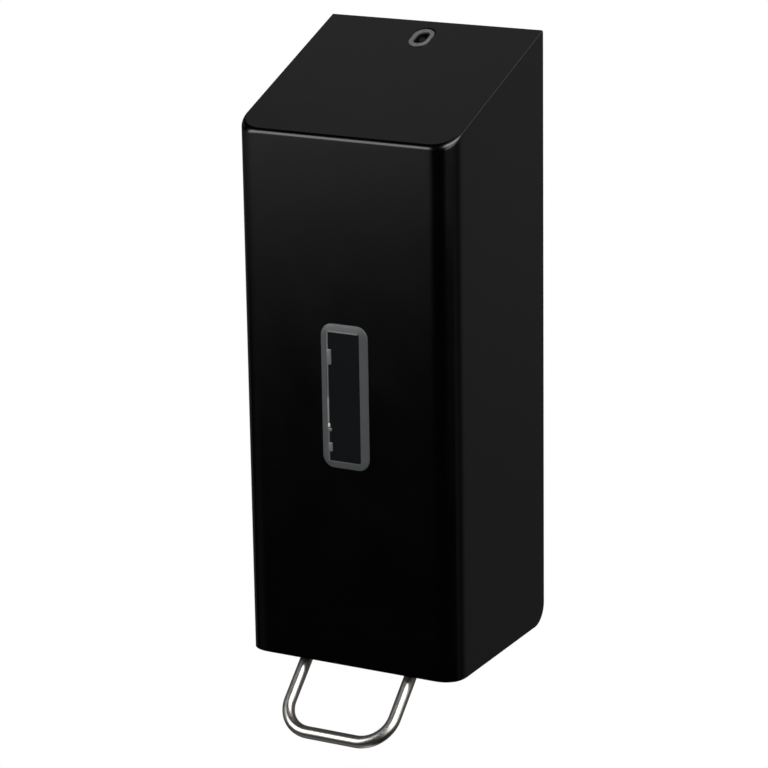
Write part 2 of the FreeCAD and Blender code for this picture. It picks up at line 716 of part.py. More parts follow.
def back_plate():
    body = new_body("back_plate")
    section = new_sketch(body, "XY_Plane", s.plate_bottom)
    deep = -s.plate_flange
    inner = half_plate - s.plate_sheet
    outline(section, [
        (-half_plate, 0),
        (half_plate, 0),
        (half_plate, deep),
        (inner, deep),
        (inner, -s.plate_sheet),
        (-inner, -s.plate_sheet),
        (-inner, deep),
        (-half_plate, deep),
    ])
    pad(body, section, s.plate_top - s.plate_bottom)
    fillet(body, s.plate_bend, lambda e: upright(e) and near(e.CenterOfMass.y, 0))
    fillet(body, s.plate_bend - s.plate_sheet,
           lambda e: upright(e) and near(e.CenterOfMass.y, -s.plate_sheet))
    fillet(body, s.flange_corner, lambda e: runs_along(e, X_AXIS) and near(e.CenterOfMass.y, deep))
    holes = new_sketch(body, "XZ_Plane")
    for x in (-s.fixing_across / 2, s.fixing_across / 2):
        for z in (-s.fixing_apart / 2, s.fixing_apart / 2):
            circle(holes, x, s.fixing_height + z, s.fixing_hole / 2)
    for x in screw_places():
        circle(holes, x, screw_height, s.screw_shank / 2 + s.seal_play)
    for x in (-s.rivet_spacing / 2, s.rivet_spacing / 2):
        circle(holes, x, rivet_height, s.rivet_shank / 2)
    cut(body, holes, s.plate_sheet * 3, symmetric=True)


def screw_places():
    return [s.screw_spacing * step for step in (-1.5, -0.5, 0.5, 1.5)]


def hook_studs():
    """Two headed studs pressed into the side flanges, one solid each."""
    body = new_body("hook_studs", y=-s.stud_depth, z=s.stud_height)
    for side in (-1, 1):
        shank = new_sketch(body, "YZ_Plane", half_plate * side)
        circle(shank, 0, 0, s.stud_shank / 2)
        pad(body, shank, half_inside - s.stack_gap - half_plate, backward=side < 0)


def latch_spring():
    """A steel leaf: a riveted leg, a springy run, and a nose with a ramp for the catch."""
    body = new_body("latch_spring")
    root = s.plate_sheet
    top = leaf_top + s.leaf_sheet
    crest = top + s.leaf_nose
    ramp = s.leaf_nose + s.leaf_sheet
    slant = s.leaf_sheet / root_half
    rear = -s.leaf_reach
    side = new_sketch(body, "YZ_Plane")
    outline(side, [
        (-root, leaf_top - s.leaf_root),
        (-root, top),
        (rear, top),
        (rear, crest),
        (rear - ramp, crest - ramp),
        (rear - ramp + slant / 2, crest - ramp - slant / 2),
        (rear - s.leaf_sheet, crest - s.leaf_sheet - slant),
        (rear - s.leaf_sheet, leaf_top),
        (-root - s.leaf_sheet, leaf_top),
        (-root - s.leaf_sheet, leaf_top - s.leaf_root),
    ])
    pad(body, side, s.leaf_width, symmetric=True)
    fillet(body, s.leaf_bend + s.leaf_sheet,
           lambda e: near(e.CenterOfMass.y, -root) and near(e.CenterOfMass.z, top))
    fillet(body, s.leaf_bend,
           lambda e: near(e.CenterOfMass.y, -root - s.leaf_sheet) and near(e.CenterOfMass.z, leaf_top))
    holes = new_sketch(body, "XZ_Plane", s.plate_sheet)
    for x in (-s.rivet_spacing / 2, s.rivet_spacing / 2):
        circle(holes, x, rivet_height, s.rivet_shank / 2)
    cut(body, holes, s.leaf_sheet * 3, symmetric=True)


def fastener(name, places, height, seat, shank, head, head_height):
    """Headed pins that run from the wall out through the sheets, one solid each."""
    body = new_body(name, z=height)
    pins = new_sketch(body, "XZ_Plane")
    heads = new_sketch(body, "XZ_Plane", seat)
    for x in places:
        circle(pins, x, 0, shank / 2)
        circle(heads, x, 0, head / 2)
    pad(body, pins, seat)
    pad(body, heads, head_height)
    outer = seat + head_height
    fillet(body, head_height / 2, lambda e: near(e.BoundBox.YMax, -outer))


# The shelf bracket that carries the bottle and the lever


def shelf_bracket():
    body = new_body("shelf_bracket")
    floor = new_sketch(body, "XY_Plane", shelf_under)
    rectangle(floor, -half_shelf, -shelf_front, half_shelf, -s.plate_sheet)
    pad(body, floor, s.shelf_sheet)
    rear = new_sketch(body, "XZ_Plane", s.plate_sheet)
    rectangle(rear, -half_shelf, s.shelf_height - s.shelf_flange, half_shelf, s.shelf_height)
    pad(body, rear, s.shelf_sheet)
    lip_top = s.shelf_height + s.shelf_lip
    lip = new_sketch(body, "YZ_Plane", half_shelf - s.shelf_sheet)
    rectangle(lip, -(shelf_front - s.bottle_corner), shelf_under, -bottle_rear, lip_top)
    side_lip = pad(body, lip, s.shelf_sheet)
    cheek = new_sketch(body, "YZ_Plane", cheek_inner)
    eye = s.cheek_eye
    reach = s.cheek_reach
    outline(cheek, [
        (-(pivot_depth + reach), shelf_under),
        (-(pivot_depth + eye), s.pivot_height),
        (-(pivot_depth - eye), s.pivot_height),
        (-(pivot_depth - reach), shelf_under),
    ])
    cheek_side = pad(body, cheek, s.shelf_sheet)
    ear = new_sketch(body, "YZ_Plane", cheek_inner)
    circle(ear, -pivot_depth, s.pivot_height, eye)
    ear_side = pad(body, ear, s.shelf_sheet)
    mirrored(body, [side_lip, cheek_side, ear_side])
    front = new_sketch(body, "XZ_Plane", shelf_front - s.shelf_sheet)
    inset = half_shelf - s.bottle_corner
    rectangle(front, -inset, shelf_under, inset, lip_top)
    pad(body, front, s.shelf_sheet)
    fillet(body, s.shelf_corner, lambda e: loose_corner(e, lip_top))
    pins = new_sketch(body, "YZ_Plane")
    circle(pins, -pivot_depth, s.pivot_height, bush_outer)
    cut(body, pins, cheek_outer * 2 + s.shelf_sheet, symmetric=True)
    neck = new_sketch(body, "XY_Plane", s.shelf_height)
    circle(neck, 0, -pump_axis, s.outlet_neck / 2 + s.bottle_play)
    cut(body, neck, s.shelf_sheet * 2, symmetric=True)
    holes = new_sketch(body, "XZ_Plane", s.plate_sheet)
    for x in screw_places():
        circle(holes, x, screw_height, s.screw_shank / 2 + s.seal_play)
    cut(body, holes, s.shelf_sheet * 3, symmetric=True)


def loose_corner(edge, lip_top):
    """A short edge through the sheet, at the free corner of a lip."""
    through_side = runs_along(edge, X_AXIS) and near(edge.Length, s.shelf_sheet)
    through_front = runs_along(edge, Y_AXIS) and near(edge.Length, s.shelf_sheet)
    return (through_side or through_front) and near(edge.CenterOfMass.z, lip_top)


def pivot_bush(name, side):
    """A flanged plastic bush in a cheek; the flange lies on the inside."""
    body = new_body(name, x=cheek_inner * side, y=-pivot_depth, z=s.pivot_height)
    ring = new_sketch(body, "YZ_Plane")
    circle(ring, 0, 0, bush_outer + s.bush_wall)
    circle(ring, 0, 0, bush_inner)
    pad(body, ring, s.bush_flange, backward=side > 0)
    barrel = new_sketch(body, "YZ_Plane")
    circle(barrel, 0, 0, bush_outer)
    circle(barrel, 0, 0, bush_inner)
    pad(body, barrel, s.shelf_sheet + s.stack_gap, backward=side < 0)


# The bottle and its closure


def bottle():
    body = new_body("bottle", y=-pump_axis)
    height = bottle_top - s.shelf_height
    depth = bottle_front - bottle_rear
    form = new_sketch(body, "XY_Plane", s.shelf_height)
    rounded_rectangle(form, 0, 0, half_bottle * 2, depth, s.bottle_corner)
    pad(body, form, height)
    fillet(body, s.bottle_shoulder, lambda e: near(e.BoundBox.ZMax, bottle_top))
    fillet(body, s.bottle_foot, lambda e: near(e.BoundBox.ZMax, s.shelf_height))
    outlet = new_sketch(body, "XY_Plane", s.shelf_height)
    circle(outlet, 0, 0, s.outlet_neck / 2)
    pad(body, outlet, s.shelf_height - neck_end, backward=True)
    filler = new_sketch(body, "XY_Plane", bottle_top)
    circle(filler, 0, 0, s.filler_bore / 2 + s.bottle_wall)
    pad(body, filler, s.filler_neck)
    wall = s.bottle_wall
    hollow = new_sketch(body, "XY_Plane", bottle_top - wall)
    rounded_rectangle(hollow, 0, 0, (half_bottle - wall) * 2, depth - wall * 2, s.bottle_corner - wall)
    cut(body, hollow, height - wall * 2)
    mouth = new_sketch(body, "XY_Plane", bottle_top + s.filler_neck)
    circle(mouth, 0, 0, s.filler_bore / 2)
    cut(body, mouth, s.filler_neck + wall * 2)
    drain = new_sketch(body, "XY_Plane", s.shelf_height + wall * 2)
    circle(drain, 0, 0, s.outlet_neck / 2 - s.outlet_wall)
    cut(body, drain, s.shelf_height - neck_end + wall * 3)


def bottle_lid():
    body = new_body("bottle_lid", y=-pump_axis, z=bottle_top)
    inner = s.filler_bore / 2 + s.bottle_wall + s.slide_play
    outer = inner + s.lid_sheet
    rim = s.filler_neck
    edge = s.stack_gap
    turned(body, [
        (0, rim),
        (inner, rim),
        (inner, edge),
        (outer, edge),
        (outer, rim + s.lid_sheet / 2),
        (outer - s.lid_sheet / 2, rim + s.lid_sheet),
        (outer - s.lid_rim, rim + s.lid_sheet),
        (outer - s.lid_rim - s.lid_sheet / 2, rim + s.lid_sheet / 2),
        (0, rim + s.lid_sheet / 2),
    ])


def union_nut():
    """The fluted nut that clamps the pump under the bottle's neck."""
    body = new_body("union_nut", y=-pump_axis, z=flange_top - s.pump_roof / 2)
    outer = s.nut_diameter / 2
    neck = s.outlet_neck / 2 + s.slide_play
    pass_through = pump_outer + s.slide_play
    base = s.pump_roof
    turned(body, [
        (pass_through, -base),
        (outer - s.nut_flute, -base),
        (outer, s.nut_flute - base),
        (outer, s.nut_length - base),
        (neck, s.nut_length - base),
        (neck, 0),
        (pass_through, 0),
    ])
    flute = new_sketch(body, "XY_Plane", -base)
    circle(flute, outer + s.nut_flute / 2, 0, s.nut_flute)
    groove = cut(body, flute, s.nut_length, backward=True)
    pattern = body.newObject("PartDesign::PolarPattern", "nut_flutes")
    pattern.Originals = [groove]
    support = next(item for item in body.Origin.OriginFeatures if item.Role == "Z_Axis")
    pattern.Axis = (support, [""])
    pattern.Angle = 360
    bind(pattern, "Occurrences", s.nut_grips)
    body.Tip = pattern
    document.recompute()


# The pump: a cylinder that stays, and a piston that the lever lifts


def pump_body():
    body = new_body("pump_body", y=-pump_axis, z=pump_end)
    bore = s.pump_bore / 2
    top = s.pump_length
    roof = top - s.pump_roof
    inlet = s.pump_inlet / 2
    rim = s.outlet_neck / 2
    turned(body, [
        (bore, 0),
        (pump_outer, 0),
        (pump_outer, top - s.pump_roof / 2),
        (rim, top - s.pump_roof / 2),
        (rim, top),
        (inlet, top),
        (inlet, roof),
        (bore, roof),
    ])


def bottle_gasket():
    body = new_body("bottle_gasket", y=-pump_axis, z=flange_top)
    inner = s.outlet_neck / 2 - s.outlet_wall
    outer = s.outlet_neck / 2
    turned(body, [(inner, 0), (outer, 0), (outer, s.gasket_sheet), (inner, s.gasket_sheet)])


def inlet_valve():
    """A soft disc over the pump's inlet, with a stalk that hangs through it."""
    body = new_body("inlet_valve", y=-pump_axis, z=flange_top)
    inlet = s.pump_inlet / 2
    stalk = s.inlet_stalk / 2
    turned(body, [
        (0, -s.pump_roof - s.gasket_sheet),
        (stalk, -s.pump_roof - s.gasket_sheet),
        (stalk, 0),
        (inlet + s.gasket_sheet, 0),
        (inlet, s.gasket_sheet),
        (0, s.gasket_sheet),
    ])


def pump_guide():
    body = new_body("pump_guide", y=-pump_axis, z=pump_end)
    inner = stem_radius + s.pivot_play
    outer = s.pump_bore / 2
    turned(body, [(inner, 0), (outer, 0), (outer, s.guide_height), (inner, s.guide_height)])


def pump_piston():
    body = new_body("pump_piston", y=-pump_axis, z=pump_end + s.guide_height)
    disc = s.pump_bore / 2 - s.slide_play
    groove = disc - s.seal_depth
    low = (s.piston_height - s.seal_height) / 2
    high = low + s.seal_height
    foot = nozzle_end + s.nozzle_floor - pump_end - s.guide_height
    bore = s.stem_bore / 2
    turned(body, [
        (bore, foot),
        (stem_radius, foot),
        (stem_radius, 0),
        (disc, 0),
        (disc, low),
        (groove, low),
        (groove, high),
        (disc, high),
        (disc, s.piston_height),
        (bore, s.piston_height),
    ])


def piston_seal():
    body = new_body("piston_seal", y=-pump_axis, z=pump_end + s.guide_height)
    outer = s.pump_bore / 2 - s.seal_play
    inner = s.pump_bore / 2 - s.slide_play - s.seal_depth
    low = (s.piston_height - s.seal_height) / 2
    high = low + s.seal_height
    lip = s.seal_lip
    turned(body, [
        (inner, low),
        (outer - lip, low),
        (outer, low + lip),
        (outer, high - lip),
        (outer - lip, high),
        (inner, high),
    ])


def pump_collar():
    """The flange that the yoke's tips lift, pressed on the stem."""
    body = new_body("pump_collar", y=-pump_axis, z=collar_under)
    outer = s.collar_diameter / 2
    edge = s.collar_height / 3
    turned(body, [
        (stem_radius, 0),
        (outer, 0),
        (outer, s.collar_height - edge),
        (outer - edge, s.collar_height),
        (stem_radius, s.collar_height),
    ])


def nozzle():
    body = new_body("nozzle", y=-pump_axis, z=nozzle_end)
    outer = stem_radius + s.nozzle_wall
    floor = s.nozzle_floor
    mouth = s.nozzle_mouth / 2
    turned(body, [
        (mouth, 0),
        (outer - s.nozzle_wall, 0),
        (outer, s.nozzle_wall * 2),
        (outer, s.nozzle_length - s.collar_height),
        (stem_radius, s.nozzle_length - s.collar_height),
        (stem_radius, floor),
        (mouth, floor),
    ])


def outlet_valve():
    """A soft cup in the lower end of the stem."""
    body = new_body("outlet_valve", y=-pump_axis, z=nozzle_end + s.nozzle_floor)
    outer = s.stem_bore / 2
    wall = s.valve_wall
    skirt = s.valve_skirt
    turned(body, [
        (wall, 0),
        (wall * 2, 0),
        (outer, skirt),
        (outer, skirt * 2),
        (outer - wall, skirt * 2),
        (outer - wall, skirt),
    ])


def pump_bellows():
    """A soft folded sleeve round the stem, which closes the pump's mouth and pushes the collar down."""
    body = new_body("pump_bellows", y=-pump_axis, z=collar_top)
    neck = stem_radius + s.bellows_gap + s.bellows_wall
    crest = neck + s.bellows_fold
    height = pump_end - collar_top
    folds = int(s.bellows_folds.value)
    pitch = height / s.bellows_folds
    outside = []
    for fold in range(folds):
        outside.append((neck, pitch * fold))
        outside.append((crest, pitch * (fold + 0.5)))
    outside.append((neck, height))
    inside = [(radius - s.bellows_wall, z) for radius, z in reversed(outside)]
    turned(body, outside + inside)


# The lever: bent stainless wire with a yoke clipped to its legs


def bent_path(sketch, points, radii):
    """An open path of level and upright runs with round bends between them."""
    points = [(as_size(x), as_size(y)) for x, y in points]
    corners = [V(x.value, y.value, 0) for x, y in points]
    radii = [None] + [as_size(radius) for radius in radii] + [None]
    last = len(corners) - 1
    starts = [corners[0]]
    ends = []
    for index in range(1, last):
        into = (corners[index] - corners[index - 1]).normalize()
        onward = (corners[index + 1] - corners[index]).normalize()
        ends.append(corners[index] - into * radii[index].value)
        starts.append(corners[index] + onward * radii[index].value)
    ends.append(corners[last])
    count = 0
    for index in range(last):
        sketch.addGeometry(Part.LineSegment(starts[index], ends[index]), False)
        count += 1
        if index + 1 < last:
            corner = corners[index + 1]
            chord = (ends[index] + starts[index + 1]) * 0.5
            reach = radii[index + 1].value * (math.sqrt(2) - 1)
            middle = corner + (chord - corner).normalize() * reach
            sketch.addGeometry(Part.Arc(ends[index], middle, starts[index + 1]), False)
            count += 1
    for edge in range(count - 1):
        first_end, second_end = meeting_ends(sketch, edge, edge + 1)
        sketch.addConstraint(Sketcher.Constraint("Tangent", edge, first_end, edge + 1, second_end))
    for run in range(last):
        line = run * 2
        level = near(corners[run].y, corners[run + 1].y)
        sketch.addConstraint(Sketcher.Constraint("Horizontal" if level else "Vertical", line))
        if level:
            fix(sketch, "DistanceY", -1, 1, line, 1, size=points[run][1])
        else:
            fix(sketch, "DistanceX", -1, 1, line, 1, size=points[run][0])
    for bend in range(1, last):
        fix(sketch, "Radius", bend * 2 - 1, size=radii[bend])
    fix(sketch, "DistanceX", -1, 1, 0, 1, size=points[0][0])
    fix(sketch, "DistanceX", -1, 1, (last - 1) * 2, 2, size=points[last][0])


def meeting_ends(sketch, first, second):
    """Which end of each of two edges lies where they meet."""
    pairs = [(a, b) for a in (1, 2) for b in (1, 2)]
    return min(pairs, key=lambda pair: (sketch.getPoint(first, pair[0])
                                        - sketch.getPoint(second, pair[1])).Length)


def bow():
    body = new_body("bow", y=-pivot_depth, z=s.pivot_height, turn=s.lever_slope)
    half = s.lever_width / 2
    path = new_sketch(body, "XY_Plane")
    corners = [
        (-wire_end, 0),
        (-half, 0),
        (-half, -s.lever_length),
        (half, -s.lever_length),
        (half, 0),
        (wire_end, 0),
    ]
    bent_path(path, corners, [s.lever_turn, s.lever_corner, s.lever_corner, s.lever_turn])
    section = new_sketch(body, "YZ_Plane", -wire_end)
    circle(section, 0, 0, s.lever_wire / 2)
    document.recompute()
    wire = body.newObject("PartDesign::AdditivePipe", "bow_wire")
    wire.Profile = section
    wire.Spine = path
    document.recompute()


def push_nuts():
    """A pressed cap on each end of the lever, outside the cheeks."""
    body = new_body("push_nuts", y=-pivot_depth, z=s.pivot_height)
    ring = new_sketch(body, "YZ_Plane", push_nut_seat)
    circle(ring, 0, 0, s.push_nut / 2)
    circle(ring, 0, 0, s.lever_wire / 2)
    mirrored(body, [pad(body, ring, s.push_nut_sheet)])


def lever_yoke():
    """A moulded bridge clipped on the legs, with two arms that reach back under the collar."""
    body = new_body("lever_yoke", y=-pivot_depth, z=s.pivot_height, turn=s.lever_slope)
    half = s.lever_width / 2
    clip_half = s.lever_wire / 2 + s.pivot_play + s.yoke_cheek
    under = -s.yoke_clip / 2
    inner = half - clip_half
    web = new_sketch(body, "YZ_Plane")
    rectangle(web, -s.yoke_far, under, -yoke_near, under + s.yoke_web)
    pad(body, web, inner * 2 + s.yoke_cheek, symmetric=True)
    block = new_sketch(body, "XY_Plane", under)
    rectangle(block, inner, -s.yoke_far, half + clip_half, -yoke_near)
    clip = pad(body, block, s.yoke_clip)
    angle = -(s.yoke_dip + s.lever_slope)
    tip = (s.yoke_arm * cosine(angle), s.yoke_arm * sine(angle))
    root_point = (-(yoke_near + s.yoke_far) / 2, under + s.yoke_web / 2)
    arm = new_sketch(body, "YZ_Plane", s.yoke_fork / 2)
    stadium(arm, root_point, tip, s.yoke_tip)
    mirrored(body, [clip, pad(body, arm, s.yoke_finger)])
    for side in (-1, 1):
        groove = new_sketch(body, "XZ_Plane", yoke_near)
        radius = s.lever_wire / 2 + s.pivot_play
        stadium(groove, (half * side, 0), (half * side, s.yoke_clip), radius)
        cut(body, groove, (s.yoke_far - yoke_near) * 3, symmetric=True)


def build():
    shell = cover_shell()
    cut_lock_hole(shell)
    cover_catch()
    cover_hook("cover_hook_left", -1)
    cover_hook("cover_hook_right", 1)
    window_bezel()
    window_lens()
    lock_escutcheon()
    lock_plunger()
    lock_retainer()
    back_plate()
    hook_studs()
    latch_spring()
    fastener("latch_rivets", (-s.rivet_spacing / 2, s.rivet_spacing / 2), rivet_height,
             s.plate_sheet + s.leaf_sheet, s.rivet_shank, s.rivet_head, s.rivet_rise)
    shelf_bracket()
    fastener("bracket_screws", screw_places(), screw_height, flange_front,
             s.screw_shank, s.screw_head, s.screw_rise)
    pivot_bush("pivot_bush_left", -1)
    pivot_bush("pivot_bush_right", 1)
    bottle()
    bottle_lid()
    bottle_gasket()
    union_nut()
    pump_body()
    pump_guide()
    inlet_valve()
    pump_piston()
    piston_seal()
    pump_collar()
    nozzle()
    outlet_valve()
    pump_bellows()
    bow()
    push_nuts()
    lever_yoke()
    document.recompute()


def write_parts():
    """Check every object, then write each piece to a file of its own."""
    for item in document.Objects:
        if "Invalid" in item.State or "Error" in item.State:
            raise ValueError(f"{item.Label} did not build: {item.State}")
    pieces = [item for item in document.Objects if item.TypeId in ("PartDesign::Body", "Part::Feature")]
    os.makedirs("parts", exist_ok=True)
    for piece in pieces:
        shape = piece.Shape
        if shape.isNull() or not shape.isValid() or not shape.Solids:
            raise ValueError(f"{piece.Label} is not a sound solid")
        shape.exportStep(os.path.join("parts", piece.Label + ".step"))
        box = shape.BoundBox
        print(f"{piece.Label}: {len(shape.Solids)} solid(s), {box.XLength:.1f} x {box.YLength:.1f} x "
              f"{box.ZLength:.1f} mm, {shape.Volume / 1000:.2f} cm3")


build()
write_parts()
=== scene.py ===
# %% [markdown]
# A wall soap dispenser with a wire lever
#
# The dispenser is a black powder-coated steel box with a sloping top. A narrow window in the front
# shows how full the bottle is, an oval lock sits in the slope, and a bent stainless wire below the box
# works the pump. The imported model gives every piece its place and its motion. Here each piece gets the
# shape and the finish that the eye sees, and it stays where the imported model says.

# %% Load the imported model
import bmesh
import bpy
import math
from mathutils import Matrix, Vector


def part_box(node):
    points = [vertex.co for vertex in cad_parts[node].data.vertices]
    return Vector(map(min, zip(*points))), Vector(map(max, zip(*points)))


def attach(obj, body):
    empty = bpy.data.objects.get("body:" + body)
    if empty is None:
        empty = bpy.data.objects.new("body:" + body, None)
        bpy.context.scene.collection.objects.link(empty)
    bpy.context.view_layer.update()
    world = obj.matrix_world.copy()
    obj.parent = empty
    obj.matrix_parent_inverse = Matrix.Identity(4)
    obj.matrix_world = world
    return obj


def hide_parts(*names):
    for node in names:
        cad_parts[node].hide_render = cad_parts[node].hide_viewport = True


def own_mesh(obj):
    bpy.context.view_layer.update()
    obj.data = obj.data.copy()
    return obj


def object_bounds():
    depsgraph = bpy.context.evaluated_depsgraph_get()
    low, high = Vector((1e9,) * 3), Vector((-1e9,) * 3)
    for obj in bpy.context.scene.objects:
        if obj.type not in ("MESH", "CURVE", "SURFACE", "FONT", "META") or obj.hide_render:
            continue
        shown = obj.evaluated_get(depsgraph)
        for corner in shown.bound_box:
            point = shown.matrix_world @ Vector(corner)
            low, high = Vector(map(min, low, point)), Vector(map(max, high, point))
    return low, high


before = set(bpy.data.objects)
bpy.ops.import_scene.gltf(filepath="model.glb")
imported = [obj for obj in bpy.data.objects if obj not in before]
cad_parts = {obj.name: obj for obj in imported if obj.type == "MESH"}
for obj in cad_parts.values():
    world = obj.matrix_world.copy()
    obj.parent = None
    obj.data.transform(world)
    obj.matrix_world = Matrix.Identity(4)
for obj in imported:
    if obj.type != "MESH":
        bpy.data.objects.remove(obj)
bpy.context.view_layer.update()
mm = 0.001
print("nodes:", len(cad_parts))

# %% [markdown]
# The camera
#
# The photograph was taken with a long lens from the right and a little above, so upright edges lean
# hardly at all. A camera set by eye never brings all the edges into line at once. So its place and its
# directions come from matching the box's corners in the picture to the sizes of the box, and they are
# written as a place and a turn in space.

# %% Camera
camera_place = Vector((0.71242, -1.38357, 0.42131))
camera_right = Vector((0.88284421, 0.46942616, -0.01500596))
camera_up = Vector((-0.11968661, 0.25575884, 0.95930315))
camera_lens = 155.94

camera_data = bpy.data.cameras.new("camera")
camera_data.lens = camera_lens
camera_data.sensor_width = 36
camera = bpy.data.objects.new("camera", camera_data)
bpy.context.scene.collection.objects.link(camera)
camera_back = camera_right.cross(camera_up)
camera.matrix_world = Matrix.Translation(camera_place) @ Matrix(
    (camera_right, camera_up, camera_back)).transposed().to_4x4()
bpy.context.scene.camera = camera
bpy.context.scene.view_settings.view_transform = "Standard"
print("camera", round(camera_place.length, 3), "m from the wall screws")

# %% [markdown]
# Background and floor
#
# The picture has a pure white background, and nothing of the room shows. A plain white world would flood
# the black box with light. So the world is white to the camera and to mirror and glass rays, and softer
# to the rays that light matt surfaces. A pale floor far below is just as white to the camera, and sends
# a little light back up.

# %% World and floor
sky_fill = 0.3


def background_mask(tree):
    """A value of one for rays that see the background: camera, mirror and glass rays."""
    path = tree.nodes.new("ShaderNodeLightPath")
    seen = path.outputs["Is Camera Ray"]
    for ray in ("Is Glossy Ray", "Is Transmission Ray"):
        either = tree.nodes.new("ShaderNodeMath")
        either.operation = "MAXIMUM"
        tree.links.new(seen, either.inputs[0])
        tree.links.new(path.outputs[ray], either.inputs[1])
        seen = either.outputs[0]
    return seen


def part_by_ray(tree, lit, seen, output_type):
    """Give one shader to the rays that light things, and another to those that see the background."""
    mix = tree.nodes.new("ShaderNodeMixShader")
    output = tree.nodes.new(output_type)
    tree.links.new(background_mask(tree), mix.inputs[0])
    tree.links.new(lit.outputs[0], mix.inputs[1])
    tree.links.new(seen.outputs[0], mix.inputs[2])
    tree.links.new(mix.outputs[0], output.inputs[0])


def link_object(name, data):
    """A new object in the scene."""
    piece = bpy.data.objects.new(name, data)
    bpy.context.scene.collection.objects.link(piece)
    return piece


world = bpy.data.worlds.new("studio")
world.use_nodes = True
world.node_tree.nodes.clear()
backgrounds = []
for strength in (sky_fill, 1.0):
    background = world.node_tree.nodes.new("ShaderNodeBackground")
    background.inputs["Color"].default_value = (1, 1, 1, 1)
    background.inputs["Strength"].default_value = strength
    backgrounds.append(background)
part_by_ray(world.node_tree, *backgrounds, "ShaderNodeOutputWorld")
bpy.context.scene.world = world

floor_drop = 1.3
floor_half = 12.0
floor_grey = 0.8
floor_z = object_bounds()[0].z - floor_drop
floor_mesh = bpy.data.meshes.new("floor")
floor_mesh.from_pydata([(x * floor_half, y * floor_half, floor_z)
                        for x, y in ((-1, -1), (1, -1), (1, 1), (-1, 1))], [], [(0, 1, 2, 3)])
floor = link_object("floor", floor_mesh)
floor_material = bpy.data.materials.new("floor_white")
floor_material.use_nodes = True
floor_tree = floor_material.node_tree
floor_tree.nodes.clear()
floor_paint = floor_tree.nodes.new("ShaderNodeBsdfDiffuse")
floor_paint.inputs["Color"].default_value = (floor_grey, floor_grey, floor_grey, 1)
floor_glow = floor_tree.nodes.new("ShaderNodeEmission")
floor_glow.inputs["Strength"].default_value = 1.0
part_by_ray(floor_tree, floor_paint, floor_glow, "ShaderNodeOutputMaterial")
floor.data.materials.append(floor_material)
print("floor at", round(floor_z, 3), "m")

# %% [markdown]
# Cards for the mirror rays
#
# A satin black surface shows hardly any colour of its own: what the eye reads is what it mirrors. A
# photographer lights such a thing with a large soft light overhead, which draws a bright line along the
# bend, and stands dark and grey cards where the flat faces would mirror a white wall. A picture of a
# studio in the world would do the same, but cards can be aimed one by one and need no picture. Only
# mirror rays see them. Each is a patch of a large ball round the object, given by its brightness, by the
# share of it at a few heights and by the share at a few compass directions, both in degrees.

# %% Cards
studio_middle = Vector((0, -0.05, 0))
studio_radius = 1.35
near_radius = 1.28
card_steps = 24
ball_foot = -80
ball_rim = 34
ball_top = 89


def on_ball(azimuth, elevation, radius):
    """A place on the studio's ball. Azimuth 0 is +X and -90 is straight in front of the object."""
    turn = math.radians(azimuth)
    lift = math.radians(elevation)
    level = math.cos(lift)
    outward = Vector((level * math.cos(turn), level * math.sin(turn), math.sin(lift)))
    return studio_middle + radius * outward


def share_ramp(nodes, stops):
    """A colour ramp over the range of the stops, each one of degrees and a grey share."""
    ramp = nodes.new("ShaderNodeValToRGB")
    first = stops[0][0]
    last = stops[-1][0]
    elements = ramp.color_ramp.elements
    while len(elements) < len(stops):
        elements.new(0.5)
    for element, (degrees, share) in zip(elements, stops):
        element.position = (degrees - first) / (last - first)
        element.color = (share, share, share, 1)
    return ramp


def card_material(name, strength, heights, turns):
    """A glow whose share runs up the card by one ramp and round it by another."""
    material = bpy.data.materials.new(name)
    material.use_nodes = True
    nodes = material.node_tree.nodes
    links = material.node_tree.links
    nodes.clear()
    spot = nodes.new("ShaderNodeUVMap")
    split = nodes.new("ShaderNodeSeparateXYZ")
    up = share_ramp(nodes, heights)
    across = share_ramp(nodes, turns)
    both = nodes.new("ShaderNodeVectorMath")
    both.operation = "MULTIPLY"
    glow = nodes.new("ShaderNodeEmission")
    glow.inputs["Strength"].default_value = strength
    output = nodes.new("ShaderNodeOutputMaterial")
    links.new(spot.outputs["UV"], split.inputs[0])
    links.new(split.outputs["X"], across.inputs["Fac"])
    links.new(split.outputs["Y"], up.inputs["Fac"])
    links.new(up.outputs["Color"], both.inputs[0])
    links.new(across.outputs["Color"], both.inputs[1])
    links.new(both.outputs[0], glow.inputs["Color"])
    links.new(glow.outputs[0], output.inputs[0])
    return material


def card(name, strength, heights, turns, radius=studio_radius):
    """A patch of the ball that only mirror rays see."""
    mesh = bmesh.new()
    layer = mesh.loops.layers.uv.new("UVMap")
    low, high = heights[0][0], heights[-1][0]
    left, right = turns[0][0], turns[-1][0]
    grid = []
    for y in range(card_steps + 1):
        height = low + (high - low) * y / card_steps
        line = []
        for x in range(card_steps + 1):
            turn = left + (right - left) * x / card_steps
            line.append(mesh.verts.new(on_ball(turn, height, radius)))
        grid.append(line)
    for row in range(card_steps):
        for column in range(card_steps):
            corners = ((column, row), (column + 1, row), (column + 1, row + 1), (column, row + 1))
            face = mesh.faces.new([grid[y][x] for x, y in corners])
            for loop, (x, y) in zip(face.loops, corners):
                loop[layer].uv = (x / card_steps, y / card_steps)
    data = bpy.data.meshes.new(name)
    mesh.to_mesh(data)
    mesh.free()
    piece = link_object(name, data)
    for ray in ("visible_camera", "visible_diffuse", "visible_shadow", "visible_transmission"):
        setattr(piece, ray, False)
    data.materials.append(card_material(name, strength, heights, turns))


def all_round(first, last):
    """The same share from one direction to another."""
    return ((first, 1), (last, 1))


def black(low, high):
    """No light at all from one height to another."""
    return ((low, 0), (high, 0))


